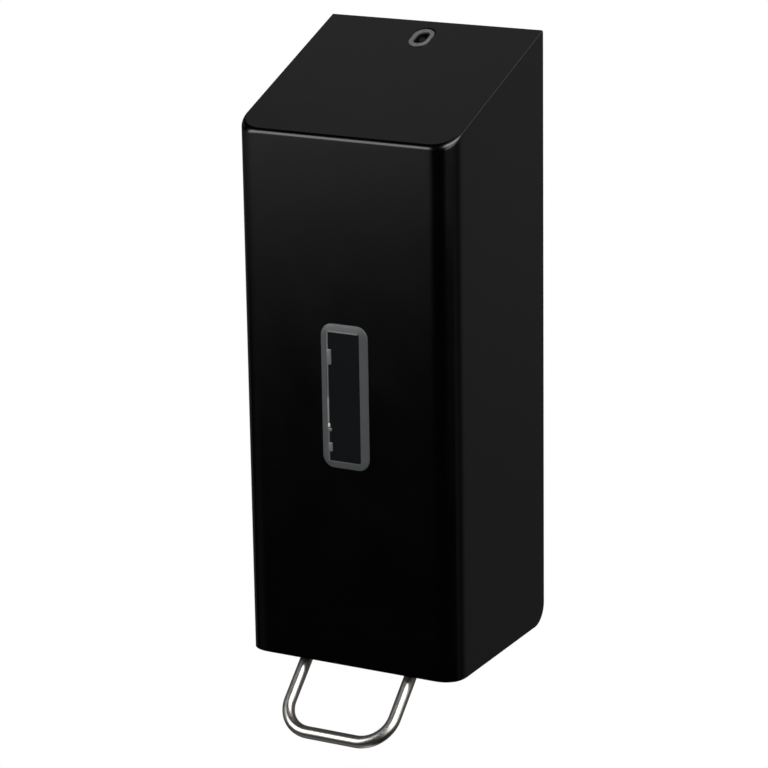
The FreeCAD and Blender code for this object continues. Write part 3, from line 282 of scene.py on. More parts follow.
# The ball's wall, from the left round the front, the right and the back to the left again.
front_heights = ((ball_foot, 0), (-16, 0), (-12.5, 0.08), (-10, 0.3), (-7, 0.75), (-4, 1), (1, 1), (3, 0),
                 (ball_rim, 0))
front_turns = ((-182, 0.15), (-152, 0.5), (-134, 0.88), (-121, 1), (-114, 1), (-103, 0), (-78, 0))
strip_turns = ((-46, 0), (-42, 1), (-6, 1), (-2, 1))
side_heights = ((ball_foot, 0.5), (-28, 0.55), (-20, 0.62), (-12, 0.8), (-4, 1), (30, 1))
side_turns = ((22, 0.2), (38, 0.5), (50, 1), (60, 1), (72, 0.75), (100, 0.6))
card("card_front", 0.66, front_heights, front_turns)
card("card_corner", 1, black(ball_foot, ball_rim), all_round(-78, -46))
card("card_strip", 2.1, ((ball_foot, 0), (-3, 0), (0, 1), (ball_rim, 1)), strip_turns)
card("card_right", 0.8, ((ball_foot, 0), (-4, 0.1), (8, 1), (ball_rim, 1)), all_round(-2, 22))
card("card_side", 0.155, side_heights, side_turns)
card("card_left", 0.1, ((ball_foot, 0.4), (ball_rim, 1)), all_round(100, 182))

# The ball's dome, black but for the right.
card("card_dome_front", 1, black(ball_rim, ball_top), all_round(-182, -50))
card("card_dome_back", 1, black(ball_rim, ball_top), all_round(90, 182))
card("card_dome_right", 0.65, all_round(ball_rim, ball_top), all_round(-50, 90))

# Smaller cards that hang in front of the wall and the dome.
low_left_heights = ((-50, 0), (-40, 1), (-18, 1), (-12, 0))
low_left_turns = ((-165, 0), (-155, 1), (-132, 1), (-124, 0))
key_heights = ((2, 0), (8, 1), (36, 1), (42, 0))
key_turns = ((-150, 0), (-142, 1), (-112, 1), (-106, 0))
window_heights = ((34, 0), (40, 1), (66, 1), (72, 0))
window_turns = ((-66, 0), (-54, 1), (12, 1), (26, 0))
slope_heights = ((30, 0), (34, 1), (58, 1), (62, 0))
slope_turns = ((100, 0), (106, 1), (142, 1), (147, 0))
card("card_low_left", 0.04, low_left_heights, low_left_turns, near_radius)
card("card_ground", 0.14, ((ball_foot, 1), (-46, 1), (-36, 0)), all_round(-182, -62), near_radius)
card("card_key", 4.4, key_heights, key_turns, near_radius)
card("card_window", 6, window_heights, window_turns, near_radius)
card("card_slope", 0.21, slope_heights, slope_turns, near_radius)

# %% [markdown]
# Lamps
#
# Cards help only where something mirrors. The grey plastics are matt, so they need light that falls on
# them. A brighter world would give it, but from all sides at once, which hides the shape. Two large
# rectangular lamps, above and to the right, give it a direction. Mirror rays don't see them, so they
# leave no bright squares in the black.

# %% Lamps


def soft_lamp(name, place, size, power):
    """A rectangular soft lamp that faces the middle of the object."""
    data = bpy.data.lights.new(name, "AREA")
    data.shape = "RECTANGLE"
    data.size = size[0]
    data.size_y = size[1]
    data.energy = power
    lamp = link_object(name, data)
    turn = (Vector(place) - studio_middle).to_track_quat("Z", "Y").to_matrix().to_4x4()
    lamp.matrix_world = Matrix.Translation(Vector(place)) @ turn
    lamp.visible_camera = False
    lamp.visible_glossy = False


soft_lamp("lamp_top", place=(-0.25, -0.62, 1.12), size=(1.7, 0.8), power=9)
soft_lamp("lamp_right", place=(1.5, -1.0, 0.6), size=(0.7, 1.0), power=8)

# %% [markdown]
# Surface effects used by several finishes
#
# Powder coat, moulded plastic and satin steel all have a fine relief, and all gather a
# little unevenness in their gloss. One shader group makes a fine grain with a broader mottle and puts
# out two things: a height for a bump, and a mask that spreads the roughness. Each material then chooses
# its own scale. A second group gives the streaks of drawn metal, which run along X as the lever's bar
# does. A picture of real metal would need a map on every piece, and noise in a group needs none.

# %% Shader groups


def new_group(name, inputs, outputs):
    """A shader group with named value inputs and outputs."""
    group = bpy.data.node_groups.new(name, "ShaderNodeTree")
    for label, default in inputs:
        socket = group.interface.new_socket(label, in_out="INPUT", socket_type="NodeSocketFloat")
        socket.default_value = default
    for label in outputs:
        group.interface.new_socket(label, in_out="OUTPUT", socket_type="NodeSocketFloat")
    start = group.nodes.new("NodeGroupInput")
    end = group.nodes.new("NodeGroupOutput")
    return group, start, end


def noise(group, vector, scale_socket, detail, roughness=0.5):
    """The value of a noise texture in a group."""
    texture = group.nodes.new("ShaderNodeTexNoise")
    texture.inputs["Detail"].default_value = detail
    texture.inputs["Roughness"].default_value = roughness
    group.links.new(vector, texture.inputs["Vector"])
    if scale_socket is not None:
        group.links.new(scale_socket, texture.inputs["Scale"])
    return texture.outputs["Fac"]


grain_group, grain_in, grain_out = new_group(
    "fine_grain", (("Grain Scale", 900.0), ("Mottle Scale", 60.0)), ("Height", "Mottle"))
grain_place = grain_group.nodes.new("ShaderNodeTexCoord")
grain_fine = noise(grain_group, grain_place.outputs["Object"], grain_in.outputs["Grain Scale"], 3.0, 0.6)
grain_broad = noise(grain_group, grain_place.outputs["Object"], grain_in.outputs["Mottle Scale"], 4.0)
grain_group.links.new(grain_fine, grain_out.inputs["Height"])
grain_group.links.new(grain_broad, grain_out.inputs["Mottle"])

streak_group, streak_in, streak_out = new_group(
    "drawn_streaks", (("Along Scale", 60.0), ("Across Scale", 900.0)), ("Height", "Shade"))
streak_place = streak_group.nodes.new("ShaderNodeTexCoord")
streak_size = streak_group.nodes.new("ShaderNodeCombineXYZ")
streak_group.links.new(streak_in.outputs["Along Scale"], streak_size.inputs["X"])
streak_group.links.new(streak_in.outputs["Across Scale"], streak_size.inputs["Y"])
streak_group.links.new(streak_in.outputs["Across Scale"], streak_size.inputs["Z"])
streak_vector = streak_group.nodes.new("ShaderNodeVectorMath")
streak_vector.operation = "MULTIPLY"
streak_group.links.new(streak_place.outputs["Object"], streak_vector.inputs[0])
streak_group.links.new(streak_size.outputs[0], streak_vector.inputs[1])
streak_noise = noise(streak_group, streak_vector.outputs[0], None, 3.0)
streak_group.links.new(streak_noise, streak_out.inputs["Height"])
streak_group.links.new(streak_noise, streak_out.inputs["Shade"])
print("shader groups:", grain_group.name, streak_group.name)

# %% [markdown]
# Finishes
#
# Every finish is one Principled shader. Its colour and gloss are plain numbers on the
# shader itself. The groups only spread the roughness a little and feed a bump, because a real surface
# is never equally smooth all over. Each could be wired by hand, but one recipe function keeps a finish
# to two lines, and they can be compared at a glance.

# %% Finishes
noise_low = 0.3
noise_high = 0.7
finish_names = []


def spread(nodes, links, value, low, high):
    """Carry the middle range of a noise into the range from low to high."""
    ramp = nodes.new("ShaderNodeMapRange")
    ramp.inputs["From Min"].default_value = noise_low
    ramp.inputs["From Max"].default_value = noise_high
    ramp.inputs["To Min"].default_value = low
    ramp.inputs["To Max"].default_value = high
    links.new(value, ramp.inputs["Value"])
    return ramp.outputs[0]


def finish(name, color, roughness, group, scales, bump, metal=0.0, **sockets):
    """One material: colour, a roughness range spread by a group's second output, and its relief."""
    material = bpy.data.materials.new(name)
    material.use_nodes = True
    nodes = material.node_tree.nodes
    links = material.node_tree.links
    shader = nodes["Principled BSDF"]
    shader.inputs["Base Color"].default_value = (*color, 1)
    shader.inputs["Metallic"].default_value = metal
    for label, value in sockets.items():
        shader.inputs[label.replace("_", " ")].default_value = value
    relief = nodes.new("ShaderNodeGroup")
    relief.node_tree = group
    for label, value in scales.items():
        relief.inputs[label].default_value = value
    links.new(spread(nodes, links, relief.outputs[1], *roughness), shader.inputs["Roughness"])
    lift = nodes.new("ShaderNodeBump")
    strength, distance = bump
    lift.inputs["Strength"].default_value = strength
    lift.inputs["Distance"].default_value = distance
    links.new(relief.outputs["Height"], lift.inputs["Height"])
    links.new(lift.outputs[0], shader.inputs["Normal"])
    finish_names.append(name)
    return material


def grains(fine, broad):
    """The inputs of the grain group."""
    return {"Grain Scale": fine, "Mottle Scale": broad}


powder_coat = finish("powder_coat", (0.0006, 0.0006, 0.0007), (0.18, 0.22), grain_group,
                     grains(1500, 45), (0.2, 0.0001))
frame_plastic = finish("frame_plastic", (0.097, 0.105, 0.107), (0.34, 0.42), grain_group,
                       grains(2600, 120), (0.15, 0.00004))
# Pale plastic for the lens tabs, and also the colour of two painted highlight strips on the lens.
pale_tab_and_highlight = finish("pale_tab_and_highlight", (0.19, 0.195, 0.195), (0.2, 0.28), grain_group,
                      grains(2600, 160), (0.1, 0.00003))
# Milky plastic only for a painted highlight strip on the lens.
milky_highlight = finish("milky_highlight", (0.34, 0.345, 0.345), (0.3, 0.4), grain_group,
                       grains(2600, 160), (0.1, 0.00003))
lock_plastic = finish("lock_plastic", (0.14, 0.142, 0.142), (0.4, 0.5), grain_group,
                      grains(2600, 160), (0.15, 0.00004))
black_plastic = finish("black_plastic", (0.012, 0.012, 0.012), (0.3, 0.42), grain_group,
                       grains(2200, 120), (0.2, 0.00005))
key_plastic = finish("key_plastic", (0.006, 0.006, 0.006), (0.42, 0.5), grain_group,
                     grains(2200, 120), (0.15, 0.00004), Specular_IOR_Level=0.25)
# White plastic for the inner parts, and also for a painted glint on the lens.
white_plastic = finish("white_plastic", (0.78, 0.78, 0.76), (0.28, 0.36), grain_group,
                       grains(1600, 70), (0.08, 0.00005))
soft_rubber = finish("soft_rubber", (0.32, 0.33, 0.33), (0.5, 0.62), grain_group,
                     grains(2000, 90), (0.2, 0.00006))
# A near-black, barely mirroring rubber for the painted shade under the lock plate.
painted_shade_black = finish("painted_shade_black", (0.001, 0.001, 0.001), (0.6, 0.7), grain_group,
                     grains(2000, 90), (0.2, 0.00004), Specular_IOR_Level=0.05)
bottle_plastic = finish("bottle_plastic", (0.72, 0.75, 0.72), (0.42, 0.48), grain_group,
                        grains(400, 20), (0.03, 0.00005), Transmission_Weight=0.3, IOR=1.5)
drawn_steel = finish("drawn_steel", (0.66, 0.635, 0.60), (0.27, 0.34), streak_group,
                     {"Along Scale": 60.0, "Across Scale": 900.0}, (0.06, 0.00004), metal=1.0)
zinc_sheet = finish("zinc_sheet", (0.60, 0.62, 0.64), (0.3, 0.46), grain_group,
                    grains(500, 35), (0.12, 0.00008), metal=1.0)
lens_plastic = finish("lens_plastic", (0.022, 0.024, 0.026), (0.05, 0.09), grain_group,
                      grains(300, 60), (0.04, 0.0001), Transmission_Weight=0.5, IOR=1.49)
print("finishes:", ", ".join(finish_names))

# %% [markdown]
# Tools for the meshes
#
# The trim on the cover is stacks of closed loops: a window frame is a rounded rectangle that steps in
# and out, and an oval lock is the same with a larger corner radius. One function draws the rounded
# rectangle, another joins loops into a closed skin. Each loop lies at a height over a flat base, and a
# matrix puts the base on the front face or on the slope. Plain boxes with bevels would be quicker, but
# their steps couldn't each have a size.

# %% Mesh tools
weld = 0.0001 * mm
node_weld = 0.002 * mm
least_straight = 0.001 * mm
flat_turn = math.radians(0.5)
soft_turn = 40


def rounded_loop(width, height, radius, steps=10):
    """Points of a rounded rectangle, anticlockwise, with the same count for every size."""
    radius = min(radius, width / 2 - least_straight, height / 2 - least_straight)
    points = []
    for corner in range(4):
        middle_x = (width / 2 - radius) * (1 if corner in (0, 3) else -1)
        middle_y = (height / 2 - radius) * (1 if corner in (0, 1) else -1)
        for step in range(steps + 1):
            angle = math.pi / 2 * (corner + step / steps)
            points.append((middle_x + radius * math.cos(angle), middle_y + radius * math.sin(angle)))
    return points


def skin(name, loops, base, material, smooth=35, closed=False):
    """A solid from loops of (points, height). It is capped at both ends, or closed into a ring."""
    mesh = bmesh.new()
    rings = []
    for points, height in loops:
        rings.append([mesh.verts.new(base @ Vector((x, y, height))) for x, y in points])
    pairs = list(zip(rings, rings[1:]))
    if closed:
        pairs.append((rings[-1], rings[0]))
    for lower, upper in pairs:
        count = len(lower)
        for index in range(count):
            following = (index + 1) % count
            mesh.faces.new((lower[index], lower[following], upper[following], upper[index]))
    if not closed:
        mesh.faces.new(list(reversed(rings[0])))
        mesh.faces.new(rings[-1])
    return finished(name, mesh, material, smooth)


def shaded(name, mesh, material, smooth=None):
    """Turn a bmesh into a softly shaded object. Edges that turn by more than smooth degrees stay sharp."""
    if smooth is not None:
        for edge in mesh.edges:
            edge.smooth = len(edge.link_faces) != 2 or edge.calc_face_angle(0) < math.radians(smooth)
    for face in mesh.faces:
        face.smooth = True
    data = bpy.data.meshes.new(name)
    mesh.to_mesh(data)
    mesh.free()
    data.materials.append(material)
    return link_object(name, data)


def finished(name, mesh, material, smooth):
    """A shaded object whose faces all point outwards."""
    bmesh.ops.remove_doubles(mesh, verts=mesh.verts, dist=weld)
    bmesh.ops.recalc_face_normals(mesh, faces=mesh.faces)
    return shaded(name, mesh, material, smooth)


def apply_modifiers(piece):
    """Bake an object's modifiers into its mesh."""
    evaluated = piece.evaluated_get(bpy.context.evaluated_depsgraph_get())
    data = bpy.data.meshes.new_from_object(evaluated)
    piece.modifiers.clear()
    piece.data = data
    return piece


def place(piece, body, *nodes, slot):
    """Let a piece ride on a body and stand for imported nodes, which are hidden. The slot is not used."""
    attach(piece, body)
    if nodes:
        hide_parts(*nodes)
    return piece


def refined(node, body, material, bevel, slot):
    """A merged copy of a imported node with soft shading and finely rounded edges."""
    mesh = bmesh.new()
    mesh.from_mesh(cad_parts[node].data)
    bmesh.ops.remove_doubles(mesh, verts=mesh.verts, dist=node_weld)
    bmesh.ops.dissolve_degenerate(mesh, edges=mesh.edges, dist=node_weld / 2)
    bmesh.ops.dissolve_limit(mesh, angle_limit=flat_turn, verts=mesh.verts, edges=mesh.edges)
    piece = shaded(node + "_look", mesh, material, soft_turn)
    if bevel:
        rounding = piece.modifiers.new("edge", "BEVEL")
        rounding.width = bevel
        rounding.segments = 2
        rounding.limit_method = "ANGLE"
        rounding.angle_limit = math.radians(soft_turn)
        rounding.harden_normals = True
        apply_modifiers(piece)
    return place(piece, body, node, slot=slot)


print("mesh tools: points closer than", round(weld / mm, 4), "mm are joined")

# %% [markdown]
# The cover
#
# One sheet is bent round the front, and the sloping top is welded on and ground smooth. So the upright
# corners are large and round, the bend at the top of the front is smaller, and the seams along
# the sides are almost sharp. The outer skin is drawn as upright strips along the cover's outline: each
# strip goes up the wall, round the edge and stops on the slope. The radius of that edge fades from
# the front's to the seam's through the corner. A flat face closes the slope, and the sheet's
# thickness grows inwards.

# %% Cover
cover_low, cover_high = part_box("cover_shell")
cover_half = cover_high.x
cover_front = -cover_low.y
cover_bottom = cover_low.z
cover_rear_top = cover_high.z
cover_height = 292 * mm
front_height = 255 * mm
cover_depth = 96 * mm
wall_gap = 0.5 * mm
slope_angle = math.atan((cover_height - front_height) / (cover_depth - wall_gap))
slope_rise = math.tan(slope_angle)
sheet = 1.2 * mm
upright_radius = 12 * mm
corner_power = 2.4
bend_radius = 2.7 * mm
seam_radius = 0.9 * mm
corner_swell = 1.6 * mm
heel_radius = 10 * mm
heel_steps = 16
side_steps = 8
corner_steps = 20
front_steps = 8
wall_steps = 6
edge_steps = 8


def slope_height(y):
    """The slope's height over a place between the wall and the front."""
    return cover_rear_top + (y + wall_gap) * slope_rise


def cover_outline():
    """Plan points from the left rear edge round the front to the right rear edge.

    Each one is x, y, the outward direction, and how far it is turned from the side to the front."""
    points = []
    side_end = -(cover_front - upright_radius)
    for step in range(heel_steps + 1):
        angle = math.pi / 2 * step / heel_steps
        y = -wall_gap - heel_radius * (1 - math.cos(angle))
        points.append((-cover_half, y, Vector((-1, 0)), 0.0))
    for step in range(1, side_steps):
        y = -wall_gap - heel_radius + (side_end + wall_gap + heel_radius) * step / side_steps
        points.append((-cover_half, y, Vector((-1, 0)), 0.0))
    for step in range(corner_steps + 1):
        angle = math.pi / 2 * step / corner_steps
        across = math.cos(angle) ** (2 / corner_power)
        ahead = math.sin(angle) ** (2 / corner_power)
        outward = Vector((-across ** (corner_power - 1), -ahead ** (corner_power - 1))).normalized()
        x = -(cover_half - upright_radius) - upright_radius * across
        y = side_end - upright_radius * ahead
        points.append((x, y, outward, step / corner_steps))
    half_front = cover_half - upright_radius
    for step in range(1, front_steps):
        points.append((-half_front + half_front * step / front_steps, -cover_front, Vector((0, -1)), 1.0))
    middle = (0.0, -cover_front, Vector((0, -1)), 1.0)
    mirrored = [(-x, y, Vector((-n.x, n.y)), turn) for x, y, n, turn in reversed(points)]
    return points + [middle] + mirrored


def cover_bottom_at(y):
    """The lower edge, which rises in a quarter circle at the heel."""
    into_heel = y + wall_gap + heel_radius
    if into_heel <= 0:
        return cover_bottom
    return cover_bottom + heel_radius - math.sqrt(max(heel_radius ** 2 - into_heel ** 2, 0))


def cover_strip(x, y, outward, turn):
    """One upright strip of the skin, from the lower edge to the slope."""
    fade = turn * turn * (3 - 2 * turn)
    radius = seam_radius + (bend_radius - seam_radius) * fade + corner_swell * math.sin(math.pi * turn)
    grade = -outward.y * slope_rise
    lean = math.sqrt(1 + grade * grade)
    edge = slope_height(y)
    centre = edge + grade * radius - radius * lean
    low = cover_bottom_at(y)
    strip = [Vector((x, y, low + (centre - low) * step / wall_steps)) for step in range(wall_steps)]
    last = math.acos(grade / lean)
    for step in range(edge_steps + 1):
        angle = last * step / edge_steps
        inward = radius * (1 - math.cos(angle))
        height = centre + radius * math.sin(angle)
        strip.append(Vector((x - outward.x * inward, y - outward.y * inward, height)))
    return strip


def make_cover():
    """The whole cover as a sheet, before its openings are cut."""
    mesh = bmesh.new()
    strips = [[mesh.verts.new(point) for point in cover_strip(*plan)] for plan in cover_outline()]
    for left, right in zip(strips, strips[1:]):
        for index in range(len(left) - 1):
            mesh.faces.new((left[index], right[index], right[index + 1], left[index + 1]))
    mesh.faces.new([strip[-1] for strip in strips])
    bmesh.ops.remove_doubles(mesh, verts=mesh.verts, dist=weld)
    bmesh.ops.recalc_face_normals(mesh, faces=mesh.faces)
    front_face = min(mesh.faces, key=lambda face: face.calc_center_median().y)
    if front_face.normal.y > 0:
        bmesh.ops.reverse_faces(mesh, faces=mesh.faces)
    piece = shaded("cover_coat", mesh, powder_coat)
    wall = piece.modifiers.new("sheet", "SOLIDIFY")
    wall.thickness = sheet
    wall.offset = -1
    wall.use_even_offset = True
    return apply_modifiers(piece)


cover = make_cover()
print("cover skin:", len(cover.data.polygons), "faces")

# %% [markdown]
# Cut-outs in the cover
#
# The window's frame and the lock's barrel pass through the steel, so the skin gets a rounded
# opening for each. A boolean cut with a simple plug is the plainest way, and leaves the flat faces
# round the openings flat. Afterwards a tiny bevel softens the cut sheet edges, as powder coat does.

# %% Cut-outs
window_low, window_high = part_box("window_bezel")
window_centre = (window_low + window_high) / 2
front_base = Matrix.Translation((0, -cover_front, window_centre.z)) @ Matrix.Rotation(math.pi / 2, 4, "X")
lock_down = 15.2 * mm
lock_place = Vector((0, -wall_gap - lock_down * math.cos(slope_angle),
                     cover_rear_top - lock_down * math.sin(slope_angle)))
slope_base = Matrix.Translation(lock_place) @ Matrix.Rotation(slope_angle, 4, "X")
window_opening = (20.1 * mm, 64.3 * mm, 3.8 * mm)
lock_opening = (9.6 * mm, 13.6 * mm, 4.8 * mm)
plug_reach = 6 * mm
cut_round = 0.22 * mm
cut_turn = math.radians(50)
flat_weight = 90


def cut_opening(piece, size, base):
    """Cut a rounded opening of a width, a height and a corner radius."""
    loop = rounded_loop(*size)
    plug = skin("plug", [(loop, -plug_reach), (loop, plug_reach)], base, powder_coat)
    cutter = piece.modifiers.new("opening", "BOOLEAN")
    cutter.object = plug
    cutter.solver = "EXACT"
    apply_modifiers(piece)
    bpy.data.objects.remove(plug)


cut_opening(cover, window_opening, front_base)
cut_opening(cover, lock_opening, slope_base)
soft_edge = cover.modifiers.new("soft_edge", "BEVEL")
soft_edge.width = cut_round
soft_edge.segments = 2
soft_edge.limit_method = "ANGLE"
soft_edge.angle_limit = cut_turn
even_shade = cover.modifiers.new("even_shade", "WEIGHTED_NORMAL")
even_shade.weight = flat_weight
apply_modifiers(cover)
place(cover, "cover", "cover_shell", slot="cover_black")
print("cover with openings:", len(cover.data.polygons), "faces")

# %% [markdown]
# The window's frame and lens
#
# The frame is a moulded plastic ring, nearly flat with a rounded outer edge, and clipped through the
# steel. So its skin is a closed ring of rounded loops: up the outer edge, over the border, down to the
# lens and back round the collar inside the cover. The lens lies a little deeper. It is tinted so that the
# dark inside of the box shows through only faintly. A flat plate with a hole would be simpler, but its
# sharp edges would catch no light.

# %% Window
frame_trim = 0.8 * mm
frame_shift = 0.15 * mm
frame_corner = 6 * mm
corner_share = 0.8
borders_wide = 7.1 * mm
borders_high = 6.6 * mm
lens_shift = -0.65 * mm
lens_corner = 1.1 * mm
edge_round = 0.7 * mm
edge_low = 0.05 * mm
edge_high = 0.55 * mm
round_steps = 6
frame_width = window_high.x - window_low.x - frame_trim
frame_height = window_high.z - window_low.z
frame_base = front_base @ Matrix.Translation((frame_shift, 0, 0))
lens_width = frame_width - borders_wide
lens_height = frame_height - borders_high

# How far each loop lies inside the frame's or the lens's edge, and how high, in millimetres.
border_steps = ((0.9, 0.62), (1.3, 0.7))
lip_steps = ((-0.35, 0.86), (-0.15, 0.9), (0, 0.86), (0.05, 0.74), (0.05, -0.9), (0.9, -0.9), (0.9, -3.2))
collar_steps = ((2.5, -3.2), (2.5, 0), (0, 0))
pane_steps = ((0.06, -0.85), (0.06, 0.3), (0.1, 0.38), (0.2, 0.4), (0.8, 0.4))


def frame_loop(inset, height):
    """A loop that follows the frame's outer edge."""
    corner = frame_corner - inset * corner_share
    return rounded_loop(frame_width - 2 * inset, frame_height - 2 * inset, corner), height


def lens_loop(inset, height):
    """A loop round the opening in the frame, which lies nearer to its left border."""
    loop = rounded_loop(lens_width - 2 * inset, lens_height - 2 * inset, lens_corner)
    return [(x + lens_shift, y) for x, y in loop], height


def loops_at(draw, steps):
    """Loops drawn at a list of insets and heights in millimetres."""
    return [draw(inset * mm, height * mm) for inset, height in steps]


ring = []
for step in range(round_steps + 1):
    angle = math.pi / 2 * step / round_steps
    rise = edge_low + (edge_high - edge_low) * math.sin(angle)
    ring.append(frame_loop(edge_round * (1 - math.cos(angle)), rise))
ring += loops_at(frame_loop, border_steps)
ring += loops_at(lens_loop, lip_steps)
ring += loops_at(frame_loop, collar_steps)
window_frame = skin("window_frame", ring, frame_base, frame_plastic, closed=True)
place(window_frame, "cover", "window_bezel", slot="grey_plastic")
window_pane = skin("window_pane", loops_at(lens_loop, pane_steps), frame_base, lens_plastic, smooth=50)
place(window_pane, "cover", "window_lens", slot="smoked_lens")

# %% [markdown]
# The tabs and painted highlights on the lens
#
# Three tabs stand on the lens along its left side. A white bead is a painted glint, and a milky strip and
# two pale strips along the left and upper edges are painted highlights, where these edges catch the light.
# A picture on the lens would show them from the front only, so each is a small rounded bead of its own, in
# a paler plastic than the frame.

# %% Beads on the lens
bead_foot = 0.35
bead_corner = 0.5 * mm
bead_steps = ((0, 0.3), (0.08, 0.1), (0.28, 0))
lens_left = lens_shift - lens_width / 2
lens_top = lens_height / 2
left_highlight_width = 0.8 * mm
top_highlight_height = 0.9 * mm
edge_gap = 0.05 * mm

# Each bead's name, the middle of it from the lens's left edge and from its mid height, its width, its
# height and how far it rises, all in millimetres, and its plastic.
beads = (
    ("lens_tab_upper", 1.25, 18.7, 2.5, 7.4, 0.9, pale_tab_and_highlight),
    ("lens_tab_middle", 1.1, -16.4, 2.2, 1.6, 1.0, pale_tab_and_highlight),
    ("lens_tab_lower", 1.2, -24.8, 2.4, 4.4, 0.9, pale_tab_and_highlight),
    # A painted glint: a small white bead.
    ("lens_glint", 0.75, -14.3, 1.1, 2.0, 1.0, white_plastic),
    # A painted highlight: a milky strip over the left edge, brighter just above the glint.
    ("lens_highlight_strip", 0.5, -6.8, 0.75, 12.6, 0.9, milky_highlight),
)


def lens_bead(name, x, y, width, height, rise, material):
    """A rounded bead on the lens, placed by its middle: a moulded tab, or a painted highlight or glint."""
    top = (rise - bead_foot) * mm
    loops = [(rounded_loop(width, height, bead_corner, 5), 0)]
    for inset, drop in bead_steps:
        loop = rounded_loop(width - 2 * inset * mm, height - 2 * inset * mm, bead_corner, 5)
        loops.append((loop, top - drop * mm))
    base = frame_base @ Matrix.Translation((x, y, bead_foot * mm))
    place(skin(name, loops, base, material), "cover", slot="grey_plastic")


for name, across, up, width, height, rise, material in beads:
    lens_bead(name, lens_left + across * mm, up * mm, width * mm, height * mm, rise, material)
# Painted highlights: pale strips along the lens's left and upper edges, where these edges catch the light.
lens_bead("lens_highlight_left", lens_left + edge_gap + left_highlight_width / 2, 0,
          left_highlight_width, lens_height - 4 * edge_gap, 0.75, pale_tab_and_highlight)
lens_bead("lens_highlight_top", lens_shift, lens_top - edge_gap - top_highlight_height / 2,
          lens_width - 1.4 * mm, top_highlight_height, 0.85, pale_tab_and_highlight)
print("window frame:", len(window_frame.data.polygons), "faces, beads on the lens:", len(beads) + 2)

# %% [markdown]
# The lock
#
# The lock's grey oval plate lies on the slope. Under it lies a thin black sheet, shifted up the slope,
# which is painted shade: it makes the dark line behind the plate. A black sleeve inside the plate makes
# the keyhole read as a dark hole. Cylinders cut by cylinders would give the same oval, but a closed ring
# of loops rounds its edge as well. The button in the keyhole is a imported piece that moves, so its look
# is a copy that rides with it, made with the inner pieces.

# %% Lock
plate_low, plate_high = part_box("lock_escutcheon")
plate_trim = 0.8 * mm
plate_shift = -0.35 * mm
plate_width = plate_high.x - plate_low.x - plate_trim
plate_length = 15.0 * mm
plate_rise = 0.8 * mm
key_width = 6.2 * mm
key_length = 10.2 * mm
key_shift = 0.3 * mm
key_bevel = 0.15 * mm
barrel_wall = 1.5 * mm
barrel_back = 5.4 * mm
# The painted shade under the plate: its size, its shift and the hole for the keyhole.
shade_width = 11.0 * mm
shade_length = 16.2 * mm
shade_shift = (-0.7 * mm, 1.3 * mm, 0)
shade_gap = 1 * mm
plate_base = slope_base @ Matrix.Translation((plate_shift, 0, 0))
shade_base = slope_base @ Matrix.Translation(shade_shift)

# How far each loop of the plate's edge lies inside it, and how high, in millimetres.
plate_steps = ((0, 0.0), (0, 0.3), (0.06, 0.5), (0.2, 0.66), (0.42, 0.76), (0.7, 0.8))


def oval_loop(width, length, height):
    """A loop with half circles at its ends."""
    return rounded_loop(width, length, width / 2, 14), height


def hole_loop(grow, height):
    """A loop round the keyhole, which lies a little forward of the plate's middle."""
    loop, height = oval_loop(key_width + grow, key_length + grow, height)
    return [(x + key_shift, y - key_shift) for x, y in loop], height


plate_ring = [oval_loop(plate_width - 2 * inset * mm, plate_length - 2 * inset * mm, rise * mm)
              for inset, rise in plate_steps]
plate_ring += [hole_loop(0.5 * mm, plate_rise), hole_loop(0.2 * mm, plate_rise - key_bevel),
               hole_loop(0.2 * mm, -0.2 * mm)]
lock_plate = skin("lock_plate", plate_ring, plate_base, lock_plastic, closed=True)
place(lock_plate, "cover", slot="grey_plastic")
core_ring = [hole_loop(0.2 * mm, -0.22 * mm), hole_loop(0, -0.22 * mm), hole_loop(0, -barrel_back),
             hole_loop(2 * barrel_wall, -barrel_back), hole_loop(2 * barrel_wall, -0.25 * mm)]
lock_core = skin("lock_core", core_ring, plate_base, key_plastic, closed=True)
place(lock_core, "cover", "lock_escutcheon", slot="black_plastic")
# Painted shade: a thin black sheet under the plate, shifted up the slope, makes the dark line behind it.
shade_ring = [oval_loop(shade_width, shade_length, 0.01 * mm), oval_loop(shade_width, shade_length, 0.1 * mm),
             oval_loop(shade_width - 0.2 * mm, shade_length - 0.2 * mm, 0.14 * mm),
             oval_loop(key_width + shade_gap, key_length + shade_gap, 0.14 * mm),
             oval_loop(key_width + shade_gap, key_length + shade_gap, 0.01 * mm)]
lock_painted_shade = skin("lock_painted_shade", shade_ring, shade_base, painted_shade_black, closed=True)
place(lock_painted_shade, "cover", slot="soft_rubber")
print("lock plate", round(plate_width / mm, 1), "x", round(plate_length / mm, 1), "mm")

# %% [markdown]
# The wire lever
#
# The lever is one piece of round steel wire, bent to shape. Cylinders joined by ring pieces would need
# every joint worked out. The nodes here take the path's corner points as a curve, round them with two
# bend radii, draw a circle along the result and close the ends. So the wire stays truly round at every
# bend, and its thickness is one number.

# %% Wire lever
pivot = Vector((0, -0.065536, -0.1322))
wire = 6 * mm
lever_length = 68.25 * mm
leg_half = 28 * mm
tail_half = 45.9 * mm
bar_bend = 15 * mm
upper_bend = 9 * mm
lever_slope = math.radians(42.9)
bar_index = 2.5
bend_steps = 16
round_sides = 40


def group_with(name, inputs):
    """A Geometry Nodes tree with a Geometry input and output and named inputs."""
    tree = bpy.data.node_groups.new(name, "GeometryNodeTree")
    tree.interface.new_socket("Geometry", in_out="INPUT", socket_type="NodeSocketGeometry")
    for label, kind in inputs:
        tree.interface.new_socket(label, in_out="INPUT", socket_type=kind)
    tree.interface.new_socket("Geometry", in_out="OUTPUT", socket_type="NodeSocketGeometry")
    start = tree.nodes.new("NodeGroupInput")
    end = tree.nodes.new("NodeGroupOutput")
    return tree, start, end


